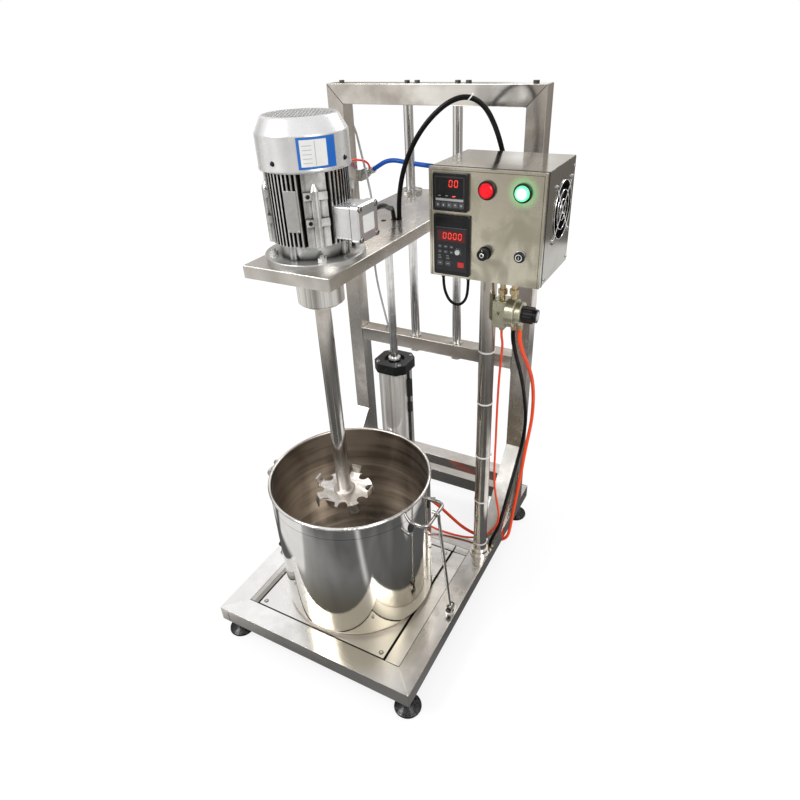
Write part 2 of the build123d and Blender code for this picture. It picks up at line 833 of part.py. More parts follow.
def junction_box():
    """The terminal box on the motor's right, its lid and its cable gland."""
    low, high = motor_y - box_half_depth, motor_y + box_half_depth
    joint = box_lid_face - box_lid_thickness
    base = block((stator_radius - 4, joint), (low + box_joint_step, high - box_joint_step),
                 (box_bottom + box_joint_step, box_top - box_joint_step))
    base = fillet(base.edges().filter_by(Axis.X), box_corner - box_joint_step)
    core = rod_z(0, motor_y, box_bottom - 5, box_top + 5, stator_radius)
    lid = block((joint, box_lid_face), (low, high), (box_bottom, box_top))
    lid = fillet(lid.edges().filter_by(Axis.X), box_corner)
    lid = chamfer(lid.faces().sort_by(Axis.X)[-1].edges(), 3)
    gland = rod_y(joint - 12, high - box_joint_step, high + 12, (box_bottom + box_top) / 2 + 4, 9)
    return [base - core + gland, lid]


def motor_rotor():
    """The rotor pack inside the motor."""
    pack = rod_z(0, motor_y, stator_low + 10, stator_high - 16, stator_bore - 1)
    return pack - rod_z(0, motor_y, stator_low, stator_high, motor_shaft_radius)


def motor_fan():
    """The motor's own cooling fan under the cover."""
    low = stator_high + motor_fan_gap
    high = low + motor_fan_depth
    hub = rod_z(0, motor_y, low, high, motor_fan_hub)
    hub += rod_z(0, motor_y, low, low + motor_fan_plate, motor_fan_radius)
    blade = block((motor_fan_hub * 0.8, motor_fan_radius), (-motor_fan_plate / 2, motor_fan_plate / 2),
                  (low, high))
    for index in range(motor_fan_blades):
        hub += Pos(0, motor_y, 0) * Rot(0, 0, 360 / motor_fan_blades * index) * blade
    return hub - rod_z(0, motor_y, low, high, fan_shaft_radius)


def bearing_housing():
    """The round bearing housing under the beam."""
    beam_bottom = beam_top - beam_height
    body = turned([(0, beam_bottom), (housing_flange_radius, beam_bottom),
                   (housing_flange_radius, beam_bottom - housing_flange_height),
                   (housing_radius, beam_bottom - housing_flange_height), (housing_radius, housing_bottom + 2),
                   (housing_radius - 2, housing_bottom), (seal_radius, housing_bottom),
                   (seal_radius, housing_bottom - seal_height), (0, housing_bottom - seal_height)], 0, motor_y)
    return body - rod_z(0, motor_y, housing_bottom - seal_height, beam_bottom, shaft_radius + running_gap)


collar_low = disc_level + disc_thickness


def mixer_shaft():
    """The stepped shaft from the motor's fan down to the disc."""
    joint = beam_top - spigot_depth - 2
    collar_high = collar_low + shaft_collar_height
    rotor_high = stator_high - 14
    shaft_top = stator_high + motor_fan_gap + motor_fan_depth + 2
    profile = [(0, disc_level - disc_nut_height - 2), (disc_bore - 0.02, disc_level - disc_nut_height - 2),
               (disc_bore - 0.02, collar_low), (shaft_collar_radius, collar_low),
               (shaft_collar_radius, collar_high - 2), (shaft_collar_radius - 2, collar_high),
               (shaft_radius, collar_high), (shaft_radius, joint), (motor_shaft_radius, joint),
               (motor_shaft_radius, rotor_high), (fan_shaft_radius, rotor_high),
               (fan_shaft_radius, shaft_top), (0, shaft_top)]
    return turned(profile, 0, motor_y)


def dispersing_disc():
    """The toothed disc: a notched plate with teeth bent up and down by turns."""
    step = 360 / disc_teeth
    plate = Circle(disc_radius)
    for index in range(disc_teeth):
        angle = radians(disc_phase + step * (index + 0.5))
        reach = disc_root_radius + notch_radius
        notch = Pos(reach * cos(angle), reach * sin(angle)) * Circle(notch_radius)
        flare = Pos((reach + disc_radius) * cos(angle) / 2 + 4 * cos(angle),
                    (reach + disc_radius) * sin(angle) / 2 + 4 * sin(angle))
        mouth = flare * Rot(0, 0, degrees(angle)) * Rectangle(disc_radius - reach + 8, 2 * notch_radius)
        plate -= notch + mouth
    disc = extrude(plate, disc_thickness)
    tooth = prism_x([(-tooth_root_width / 2, 0), (tooth_root_width / 2, 0), (tooth_tip_width / 2, tooth_height),
                     (-tooth_tip_width / 2, tooth_height)], -disc_thickness, 0)
    for index in range(disc_teeth):
        up = index % 2 == 0
        bent = Pos(disc_radius, 0, 0) * Rot(0, tooth_lean, 0)
        if not up:
            bent = Pos(disc_radius, 0, disc_thickness) * Rot(0, -tooth_lean, 0) * Rot(180, 0, 0)
        disc += Rot(0, 0, disc_phase + step * index) * bent * tooth
    dish = Cone(disc_dish_radius, disc_dish_radius - disc_dish_height, disc_dish_height)
    disc += Pos(0, 0, disc_thickness - disc_dish_height / 2 - disc_thickness / 2) * Rot(180, 0, 0) * dish
    disc -= Cylinder(disc_bore, 60)
    return Pos(0, motor_y, disc_level) * disc


def disc_nut():
    """The nut that clamps the disc to the shaft."""
    top = disc_level - disc_dish_height + disc_thickness / 2
    nut = hexagon(0, motor_y, top - disc_nut_height + 2, top, disc_nut_radius)
    return nut - rod_z(0, motor_y, top - disc_nut_height, top + 1, disc_bore - 0.02)


def pail():
    """The round stainless pail with a rolled rim and a stepped floor."""
    wall, corner = pail_wall, pail_corner
    low = base_top
    outer = [(0, low + pail_floor_drop), (pail_floor_step, low + pail_floor_drop),
             (pail_floor_step + 4, low), (pail_radius - corner, low)]
    with BuildSketch(Plane.XZ) as profile:
        with BuildLine():
            Polyline(*outer)
            RadiusArc((pail_radius - corner, low), (pail_radius, low + corner), -corner)
            Polyline((pail_radius, low + corner), (pail_radius, pail_rim), (pail_radius - wall, pail_rim),
                     (pail_radius - wall, low + corner))
            RadiusArc((pail_radius - wall, low + corner), (pail_radius - corner, low + wall), corner - wall)
            Polyline((pail_radius - corner, low + wall), (pail_floor_step + 4 - wall / 2, low + wall),
                     (pail_floor_step - wall / 2, low + pail_floor_drop + wall), (0, low + pail_floor_drop + wall),
                     (0, low + pail_floor_drop))
        make_face()
    shell = revolve(profile.sketch, Axis.Z)
    bead = Plane.XZ * Pos(pail_radius - wall / 2 + 0.5, pail_rim - pail_bead / 2) * Circle(pail_bead)
    shell += revolve(bead, Axis.Z)
    return Pos(0, pail_y, 0) * shell


def pail_handles():
    """The two bent-bar side handles, trimmed to the pail wall."""
    pieces = []
    wall = rod_z(0, pail_y, base_top, pail_rim, pail_radius)
    start = pail_radius - 12
    for side in (-1, 1):
        route = FilletPolyline((side * start, pail_y - handle_half_width, handle_level),
                               (side * handle_reach, pail_y - handle_half_width, handle_level),
                               (side * handle_reach, pail_y + handle_half_width, handle_level),
                               (side * start, pail_y + handle_half_width, handle_level), radius=handle_bend)
        bar = sweep(Plane(origin=route @ 0, z_dir=route % 0) * Circle(handle_bar_radius), route)
        pieces.append(bar - wall)
    return pieces


def clamp_brackets():
    """A pair of ears and a cross pin on each side rail."""
    pieces = []
    eye_half = clamp_eye_half
    for side in (-1, 1):
        x = side * clamp_pivot_x
        half = clamp_ear_width / 2
        body = block((x - half, x + half),
                     (pail_y - eye_half - free_gap - clamp_ear_thickness,
                      pail_y + eye_half + free_gap + clamp_ear_thickness), (base_top, base_top + 3))
        for end in (-1, 1):
            near = pail_y + end * (eye_half + free_gap)
            far = near + end * clamp_ear_thickness
            ear = block((x - half, x + half), sorted((near, far)), (base_top, clamp_pivot_z))
            ear += rod_y(x, *sorted((near, far)), clamp_pivot_z, half)
            body += ear
        reach = eye_half + free_gap + clamp_ear_thickness
        pin = rod_y(x, pail_y - reach - 2, pail_y + reach + 2, clamp_pivot_z, clamp_pin_radius)
        body -= rod_y(x, pail_y - reach, pail_y + reach, clamp_pivot_z, clamp_pin_radius)
        pin += rod_y(x, pail_y - reach - 6, pail_y - reach, clamp_pivot_z, clamp_pin_radius * 1.7)
        pin += rod_y(x, pail_y + reach, pail_y + reach + 6, clamp_pivot_z, clamp_pin_radius * 1.7)
        pieces += [body, pin]
    return pieces


def clamp_rod(side):
    """A hold-down rod: an eye on the pin and a finger bent over the handle bar."""
    wrap = handle_bar_radius + clamp_rod_radius + free_gap
    shoulder = handle_reach + wrap
    peak = handle_level + wrap
    eye_top = clamp_pivot_z + clamp_eye_radius - 2
    lean = (clamp_pivot_x - shoulder) / (handle_level - wrap - clamp_pivot_z)
    foot = clamp_pivot_x - lean * (eye_top - clamp_pivot_z)
    route = FilletPolyline((side * foot, pail_y, eye_top), (side * shoulder, pail_y, handle_level - wrap),
                           (side * shoulder, pail_y, peak), (side * (handle_reach - clamp_finger), pail_y, peak),
                           radius=[40.0, wrap - 0.05])
    rod = sweep(Plane(origin=route @ 0, z_dir=route % 0) * Circle(clamp_rod_radius), route)
    x = side * clamp_pivot_x
    eye = rod_y(x, pail_y - clamp_eye_half, pail_y + clamp_eye_half, clamp_pivot_z, clamp_eye_radius)
    eye += rod
    return eye - rod_y(x, pail_y - 10, pail_y + 10, clamp_pivot_z, clamp_pin_radius + running_gap)


def fan_screw_points():
    """Side-view positions of the four fan screws."""
    return [(fan_y + dy * fan_screw, fan_z + dz * fan_screw) for dy in (-1, 1) for dz in (-1, 1)]


def front_openings():
    """Cut-outs in the front panel for the instruments and controls."""
    deep = (cabinet_front - 1, cabinet_front + cabinet_wall + 1)
    inset = bezel_edge
    cuts = [block((meter_left + inset, meter_right - inset), deep, (meter_bottom + inset, meter_top - inset)),
            block((drive_left + inset, drive_right - inset), deep, (drive_bottom + inset, drive_top - inset))]
    for x in (stop_x, start_x):
        cuts.append(rod_y(x, *deep, button_z, button_radius + 1))
    cuts.append(rod_y(speed_x, *deep, speed_z, 4))
    cuts.append(rod_y(key_x, *deep, key_z, key_core_radius + 1))
    return cuts


def control_box():
    """The folded cabinet shell with its fan opening and cable entries."""
    wall = cabinet_wall
    front = cabinet_front + wall
    shell = block((cabinet_left, cabinet_right), (front, cabinet_rear), (cabinet_bottom, cabinet_top))
    shell = fillet(shell.edges().filter_by(Axis.Y), 2)
    shell -= block((cabinet_left + wall, cabinet_right - wall), (front - 1, cabinet_rear - wall),
                   (cabinet_bottom + wall, cabinet_top - wall))
    shell -= rod_x(cabinet_right - wall - 1, cabinet_right + 1, fan_y, fan_z, fan_bore)
    for x, y, z in (lift_cable_route[-1], blue_hose_route[-1]):
        shell += rod_y(x, cabinet_rear, cabinet_rear + 12, z, 11)
        shell -= rod_y(x, cabinet_rear - wall - 1, cabinet_rear + 13, z, 6.5)
    for x, y, z in (loop_route[0], loop_route[-1]):
        shell += rod_z(x, y, cabinet_bottom - 10, cabinet_bottom, 7)
        shell -= rod_z(x, y, cabinet_bottom - 11, cabinet_bottom + wall + 1, 3.4)
    return shell


def box_front():
    """The front panel, folded back a little round its edges."""
    wall = cabinet_wall
    panel = block((cabinet_left, cabinet_right), (cabinet_front, cabinet_front + wall),
                  (cabinet_bottom, cabinet_top))
    panel = fillet(panel.edges().filter_by(Axis.Y), 2)
    for cut in front_openings():
        panel -= cut
    fold = cabinet_lid_return
    inner = wall + free_gap
    rim = block((cabinet_left + inner, cabinet_right - inner), (cabinet_front + wall, cabinet_front + fold),
                (cabinet_bottom + inner, cabinet_top - inner))
    rim -= block((cabinet_left + inner + wall, cabinet_right - inner - wall),
                 (cabinet_front + wall, cabinet_front + fold),
                 (cabinet_bottom + inner + wall, cabinet_top - inner - wall))
    return panel + rim


def instrument(left, right, low, high, proud, depth):
    """A panel instrument: a rounded bezel with a sunk face, and the body behind it."""
    bezel = block((left, right), (cabinet_front - proud, cabinet_front), (low, high))
    bezel = fillet(bezel.edges().filter_by(Axis.Y), 3)
    bezel = chamfer(bezel.faces().sort_by(Axis.Y)[0].edges(), 1.5)
    edge = bezel_edge
    bezel -= block((left + edge, right - edge), (cabinet_front - proud, cabinet_front - proud + 1.5),
                   (low + edge, high - edge))
    body = block((left + edge + free_gap, right - edge - free_gap), (cabinet_front, cabinet_front + depth),
                 (low + edge + free_gap, high - edge - free_gap))
    return bezel + body


def speed_meter():
    """The speed display with its five keys."""
    meter = instrument(meter_left, meter_right, meter_bottom, meter_top, meter_proud, meter_body_depth)
    face = cabinet_front - meter_proud + 1.5
    for index in range(5):
        x = meter_left + 13 + index * (meter_right - meter_left - 26) / 4
        meter += block((x - 4, x + 4), (face - 0.8, face), (meter_bottom + 9, meter_bottom + 16))
    return meter


def drive_panel():
    """The drive's keypad with a raised display frame and a bore for its small knob."""
    panel = instrument(drive_left, drive_right, drive_bottom, drive_top, drive_proud, drive_body_depth)
    face = cabinet_front - drive_proud + 1.5
    panel += block((drive_left + 9, drive_right - 9), (face - 0.8, face), (drive_top - 56, drive_top - 30))
    return panel - rod_y(pot_x, face - 1, face + 6, pot_z, 2.5)


def button_bezels():
    """Threaded rings round the two push-buttons, the key switch and the speed knob."""
    face = cabinet_front
    pieces = []
    for x in (stop_x, start_x):
        ring = rod_y(x, face - button_bezel_height, face, button_z, button_bezel_radius)
        ring = chamfer(ring.edges().group_by(Axis.Y)[0], 1.5)
        ring += rod_y(x, face, face + button_barrel, button_z, button_radius + bezel_wall)
        hollow = rod_y(x, face - button_bezel_height, face + button_barrel - 2, button_z, button_radius + free_gap)
        pieces.append(ring - hollow)
    ring = rod_y(key_x, face - key_ring_height, face, key_z, key_ring_radius)
    ring = chamfer(ring.edges().group_by(Axis.Y)[0], 1.5)
    ring += rod_y(key_x, face, face + key_barrel, key_z, key_core_radius + bezel_wall)
    pieces.append(ring - rod_y(key_x, face - key_ring_height, face + key_barrel - 6, key_z,
                               key_core_radius + free_gap))
    washer = rod_y(speed_x, face - 1.5, face, speed_z, speed_knob_radius + 2)
    washer += rod_y(speed_x, face, face + knob_barrel, speed_z, 3.9)
    pieces.append(washer - rod_y(speed_x, face - 1.5, face + knob_barrel - 2, speed_z, 3.1))
    return pieces


def push_button(x):
    """A push-button cap with a slightly domed face."""
    front = cabinet_front - button_bezel_height - button_proud
    cap = rod_y(x, front, cabinet_front + 20, button_z, button_radius)
    return chamfer(cap.edges().group_by(Axis.Y)[0], 2)


def speed_knob():
    """The black speed knob on its spindle."""
    front = cabinet_front - 2 - speed_knob_height
    knob = rod_y(speed_x, front, cabinet_front - 2, speed_z, speed_knob_radius)
    for index in range(12):
        angle = radians(30 * index)
        knob -= rod_y(speed_x + (speed_knob_radius + 0.6) * cos(angle), front - 1, cabinet_front - 1,
                      speed_z + (speed_knob_radius + 0.6) * sin(angle), 1.4)
    knob += rod_y(speed_x, front - 1.5, front, speed_z, speed_knob_radius * 0.6)
    return knob + rod_y(speed_x, cabinet_front - 2, cabinet_front + 14, speed_z, 3.0)


def key_switch():
    """The turning core of the key switch, with its slot."""
    front = cabinet_front - key_ring_height - 2
    core = rod_y(key_x, front, cabinet_front + 16, key_z, key_core_radius)
    return core - block((key_x - 1, key_x + 1), (front, front + 3), (key_z - 4.5, key_z + 4.5))


def drive_knob():
    """The small knob on the drive's keypad."""
    face = cabinet_front - drive_proud + 1.5
    knob = rod_y(pot_x, face - pot_height, face - 0.3, pot_z, pot_radius)
    knob -= block((pot_x - 0.6, pot_x + 0.6), (face - pot_height, face - pot_height + 1.2),
                  (pot_z, pot_z + pot_radius))
    return knob + rod_y(pot_x, face - 0.3, face + 5, pot_z, 2.4)


fan_outer = cabinet_right - cabinet_wall
fan_inner = fan_outer - fan_depth


def fan_housing():
    """The square fan frame inside the box, with four arms to its motor mount."""
    half = fan_frame / 2
    frame = block((fan_inner, fan_outer), (fan_y - half, fan_y + half), (fan_z - half, fan_z + half))
    frame = fillet(frame.edges().filter_by(Axis.X), 6)
    frame -= rod_x(fan_inner, fan_outer, fan_y, fan_z, fan_bore)
    mount = rod_x(fan_inner, fan_inner + 6, fan_y, fan_z, fan_hub_radius)
    for turn in range(4):
        arm = block((fan_inner, fan_inner + 4), (-fan_bore - 1, -fan_hub_radius + 1), (-4, 4))
        mount += Pos(0, fan_y, fan_z) * Rot(90 * turn + 45, 0, 0) * arm
    mount += rod_x(fan_inner + 6, fan_inner + 24, fan_y, fan_z, 3)
    return frame + mount


def fan_rotor():
    """The box fan's hub and its pitched blades."""
    low, high = fan_inner + 8, fan_outer - 3
    rotor = rod_x(low, high, fan_y, fan_z, fan_hub_radius)
    blade = block((low + 3, high - 3), (-1.2, 1.2), (fan_hub_radius - 3, fan_blade_radius))
    for index in range(fan_blades):
        pitched = Pos((low + high) / 2, 0, 0) * Rot(0, 0, 35) * Pos(-(low + high) / 2, 0, 0)
        rotor += Pos(0, fan_y, fan_z) * Rot(360 / fan_blades * index, 0, 0) * pitched * blade
    return rotor - rod_x(low, low + 18, fan_y, fan_z, 3 + running_gap)


def fan_guard():
    """The chrome finger guard: rings on crossed spokes, with four screw tabs."""
    low, high = cabinet_right, cabinet_right + guard_wire
    guard = None
    for radius in guard_rings:
        ring = rod_x(low, high, fan_y, fan_z, radius + guard_wire / 2)
        ring -= rod_x(low, high, fan_y, fan_z, radius - guard_wire / 2)
        guard = ring if guard is None else guard + ring
    guard += rod_x(low, high, fan_y, fan_z, 6)
    reach = guard_rings[0]
    for index in range(guard_spokes):
        spoke = block((low, high), (4, reach), (-guard_wire / 2, guard_wire / 2))
        guard += Pos(0, fan_y, fan_z) * Rot(360 / guard_spokes * index + 22.5, 0, 0) * spoke
    for y, z in fan_screw_points():
        tab = rod_x(low, high - 0.8, y, z, 5) - rod_x(low - 1, high + 1, y, z, 2.4)
        toward = Vector(0, fan_y - y, fan_z - z).normalized()
        arm_start = Vector(low + guard_wire / 2, y, z) + toward * 4
        arm_end = Vector(low + guard_wire / 2, fan_y, fan_z) - toward * (reach + 0.5)
        guard += tab + rod_between(tuple(arm_start), tuple(arm_end), guard_wire / 2 - 0.05)
    return guard


valve_right = valve_left + valve_width
valve_rear = valve_front + valve_depth
valve_top = valve_bottom + valve_height
dial_right = valve_right + dial_length
neck_right = dial_right + neck_length


def hand_valve():
    """The rotary hand valve: a zinc block with a round stepped head."""
    body = block((valve_left, valve_right), (valve_front, valve_rear), (valve_bottom, valve_top))
    body = chamfer(body.edges(), 1.5)
    centre = (valve_left + valve_right) / 2
    socket = Pos(centre, valve_front, dial_z) * Rot(90, 0, 0) * extrude(RegularPolygon(5, 6), 6, both=True)
    body -= socket
    head = rod_x(valve_right, dial_right, dial_y, dial_z, dial_radius)
    head = chamfer(head.edges().group_by(Axis.X)[-1], 2)
    neck = rod_x(dial_right, neck_right, dial_y, dial_z, neck_radius)
    neck = chamfer(neck.edges().group_by(Axis.X)[-1], 2)
    bore = rod_x(neck_right - 8, neck_right, dial_y, dial_z, 5)
    return body + head + neck - bore


rail_entry = (287.0, 106.0, base_top + 6)
barb_places = ((306.0, 64.0, valve_bottom), (333.0, 66.0, dial_z - dial_radius + 1.5),
               (350.0, 62.0, dial_z - neck_radius + 1.0))


def valve_fittings():
    """Brass nipples up to the box and hose tails below the valve."""
    pieces = []
    for x, y, low in ((*block_nipple, valve_top), (head_nipple_x, dial_y, dial_z + dial_radius)):
        nipple = rod_z(x, y, low, cabinet_bottom, pipe_radius)
        nipple += hexagon(x, y, cabinet_bottom - nipple_nut * 1.3, cabinet_bottom, nipple_nut)
        nipple += hexagon(x, y, low + nipple_nut, low + 2 * nipple_nut, nipple_nut)
        pieces.append(nipple)
    head = rod_x(valve_right, dial_right, dial_y, dial_z, dial_radius)
    neck = rod_x(dial_right - 1, neck_right, dial_y, dial_z, neck_radius)
    for x, y, level in barb_places:
        tail = rod_z(x, y, level - barb_height, level + 3, barb_radius)
        if level > valve_bottom:
            tail = tail - head - neck
        else:
            tail = rod_z(x, y, level - barb_height, level, barb_radius)
        pieces.append(tail)
    entry = rod_z(*rail_entry[:2], base_top, rail_entry[2], 9)
    entry -= rod_z(pole_x, pole_y, base_top - 1, rail_entry[2] + 1, pole_flange_radius + 0.3)
    pieces.append(entry)
    return pieces


def valve_knob():
    """The lobed black knob of the hand valve, with its bright end cap."""
    low, high = neck_right + 1, neck_right + 1 + knob_length
    section = Circle(knob_radius - 2)
    for index in range(knob_lobes):
        angle = radians(360 / knob_lobes * index)
        reach = knob_radius - knob_lobe_radius
        section += Pos(reach * cos(angle), reach * sin(angle)) * Circle(knob_lobe_radius)
    grip = Plane((low, dial_y, dial_z), x_dir=(0, 1, 0), z_dir=(1, 0, 0)) * section
    knob = extrude(grip, high - low)
    knob += rod_x(high, high + knob_cap_length, dial_y, dial_z, knob_cap_radius)
    return knob + rod_x(neck_right - 7, low, dial_y, dial_z, 4.9)


coupler_tail = Vector(*coupler_start)
coupler_axis = (Vector(*coupler_end) - coupler_tail).normalized()
coupler_port = coupler_tail + coupler_axis * 16 + port_lean


def air_coupler():
    """The quick coupling for shop air, held by a clip on the left upright."""
    start, end, along = coupler_tail, Vector(*coupler_end), coupler_axis
    body = rod_between(tuple(start), tuple(end), coupler_radius)
    ring_start = end - along * 14
    body += rod_between(tuple(ring_start), tuple(end), coupler_ring_radius)
    body += rod_between(tuple(start), tuple(start + along * 8), coupler_radius + 1.5)
    bore_start = end - along * inlet_depth
    body -= rod_between(tuple(bore_start), tuple(end + along), inlet_bore)
    port = rod_between(tuple(start + along * 16), tuple(coupler_port), 4.5)
    arm_left = end.X + 8
    clip = block((arm_left - 14, arm_left + 3), (portal_rear, portal_rear + 3), (end.Z - 8, end.Z + 22))
    arm = block((arm_left, arm_left + 3), (portal_rear, end.Y), (end.Z - 8, end.Z + 22))
    return body + port + clip + arm - rod_between(tuple(bore_start), tuple(end + along), inlet_bore)


# Routes of the cords: points chosen along each one, in order. Each starts and ends on the part it meets.
box_gland = (box_lid_face - box_lid_thickness - 12, motor_y + box_half_depth + 12, (box_bottom + box_top) / 2 + 4)
block_tail, dial_tail, neck_tail = [(x, y, level - barb_height) for x, y, level in barb_places]
motor_lead_route = [box_gland, (101.0, -126.0, 1149.5), (97.0, -96.0, 1147.0), (86.0, -58.0, 1138.0),
                    (70.0, -16.0, 1122.0), (48.0, 30.0, 1108.0), (31.0, 64.0, 1100.0),
                    (24.0, 79.0, 1090.0), (21.0, 88.0, 1076.0), (20.5, 91.0, 1056.0)]
lift_cable_route = [(28.5, 100.5, 1050.0), (28.5, 100.5, 1092.0), (35.0, 100.0, 1140.0), (48.0, 103.0, 1188.0),
                    (74.0, 108.0, 1240.0), (108.0, 118.0, 1283.0), (148.0, 131.0, 1314.0),
                    (184.0, 146.0, 1320.0), (212.0, 162.0, 1300.0), (232.0, 176.0, 1258.0),
                    (243.0, 195.0, 1206.0), (246.0, 213.9, 1158.0), (247.0, 224.1, 1125.5),
                    (246.0, 220.5, 1103.8), (244.0, 207.6, 1086.0), (242.0, 188.0, 1076.0),
                    (242.0, cabinet_rear + 12, 1076.0)]
loop_route = [(186.0, 8.0, cabinet_bottom - 10), (186.0, 8.0, 966.0), (190.0, 8.0, 943.0), (202.0, 8.0, 922.0),
              (222.0, 8.0, 916.0), (239.0, 8.0, 930.0), (245.0, 8.0, 956.0), (245.0, 8.0, cabinet_bottom - 10)]
blue_hose_route = [coupler_tail, coupler_tail - coupler_axis * 22, (-178.0, 405.0, 1128.0), (-152.0, 407.0, 1132.0),
                   (-118.0, 408.0, 1128.0), (-75.0, 409.0, 1124.0), (-20.0, 410.0, 1121.0), (35.0, 410.0, 1118.0),
                   (90.0, 408.0, 1116.0), (145.0, 398.0, 1114.0), (188.0, 370.0, 1113.0), (212.0, 325.0, 1113.0),
                   (219.0, 270.0, 1114.0), (219.0, 215.0, 1115.0), (219.0, cabinet_rear + 12, 1115.0)]
red_tube_route = [(-portal_inner + 0.8, 334.0, 1141.0), (-236.0, 335.0, 1141.0), (-226.0, 341.0, 1140.0),
                  (-220.0, 353.0, 1137.0), (-218.5, 368.0, 1130.0), coupler_port + port_lean * 0.8, coupler_port]
rear_cable_route = [(-269.0, portal_rear + 0.4, 1228.0), (-269.0, 379.0, 1227.0), (-268.0, 389.5, 1220.5),
                    (-266.0, 395.0, 1208.0), (-262.0, 396.5, 1193.0), (-252.0, 392.0, 1160.0),
                    (-240.0, 386.0, 1125.0), (-229.0, 382.0, 1085.0),
                    (-218.0, 380.0, 1035.0), (-214.0, 379.0, 970.0), (-220.0, 379.0, 910.0),
                    (-223.0, 379.0, 850.0), (-219.0, 379.0, 790.0), (-208.0, 379.0, 730.0),
                    (-195.0, 379.0, 670.0), (-180.0, 378.0, 610.0), (-160.0, 372.0, 550.0),
                    (-134.0, 352.0, 492.0), (-110.0, 320.0, 440.0), (-90.0, 282.0, 392.0),
                    (-75.0, 244.0, 344.0), (-68.0, 206.0, 298.0), (-72.0, 172.0, 252.0),
                    (-84.0, 142.0, 206.0), (-100.0, 116.0, 166.0), (-103.0, 101.0, 149.0),
                    (-93.0, 92.5, 138.0), (-78.0, cylinder_y, port_level),
                    (-side_port[0], side_port[1], side_port[2])]
orange_hose_route = [neck_tail, (350.0, 62.0, 838.0), (350.0, 82.0, 802.0), (347.0, 122.0, 758.0),
                     (343.0, 174.0, 706.0), (340.0, 222.0, 650.0), (336.0, 260.0, 590.0),
                     (333.0, 282.0, 530.0), (330.0, 291.0, 468.0), (324.0, 288.0, 408.0),
                     (319.0, 283.0, 350.0), (315.0, 279.0, 290.0), (312.0, 270.0, 232.0),
                     (309.0, 254.0, 176.0), (307.5, 240.0, 128.0), (307.0, 229.0, 90.0),
                     (304.0, 220.0, 62.0), (288.0, 213.0, 45.0), (250.0, 208.0, 38.0),
                     (204.0, 203.0, 42.0),
                     (158.0, 201.0, 56.0), (116.0, 206.0, 78.0), (78.0, 211.0, 99.0),
                     (49.0, 213.0, 114.0), (28.0, 209.0, 125.0), (13.0, 199.0, 131.0),
                     (3.0, 183.0, 134.0), (0.0, 164.0, port_level), rear_port]
black_hose_route = [dial_tail, (333.0, 66.0, 832.0), (331.5, 88.0, 796.0), (328.0, 124.0, 746.0),
                    (324.0, 167.0, 692.0), (320.0, 208.0, 636.0), (316.0, 244.0, 578.0),
                    (313.0, 276.0, 516.0), (311.0, 297.0, 454.0), (307.0, 299.0, 400.0),
                    (304.0, 282.0, 350.0), (303.0, 244.0, 302.0), (303.0, 202.0, 258.0),
                    (303.0, 164.0, 212.0), (301.0, 132.0, 174.0), (292.0, 111.0, 146.0),
                    (287.0, 106.0, 132.0), rail_entry]
orange_tube_route = [block_tail, (306.0, 64.0, 834.0), (304.0, 80.0, 810.0), (298.0, 98.0, 780.0),
                     (292.0, 108.0, 736.0), (289.0, 110.0, 680.0), (288.5, 109.0, 620.0),
                     (289.0, 107.5, 560.0), (289.5, 107.0, 500.0), (289.0, 107.5, 440.0),
                     (289.0, 109.5, 380.0), (292.0, 114.0, 320.0), (300.0, 121.0, 266.0),
                     (303.5, 126.0, 222.0), (298.0, 128.0, 184.0), (280.0, 124.0, 152.0),
                     (252.0, 116.0, 128.0), (216.0, 107.0, 118.0), (170.0, 101.0, 116.0),
                     (128.0, 97.0, 118.0), (98.0, 93.0, 127.0), (80.0, cylinder_y, port_level), side_port]

motor_cable_radius = 5.0
lift_cable_radius = 5.5
loop_cable_radius = 3.2
blue_hose_radius = 6.2
red_tube_radius = 3.0
rear_cable_radius = 3.2
air_hose_radius = 5.0
air_tube_radius = 3.0

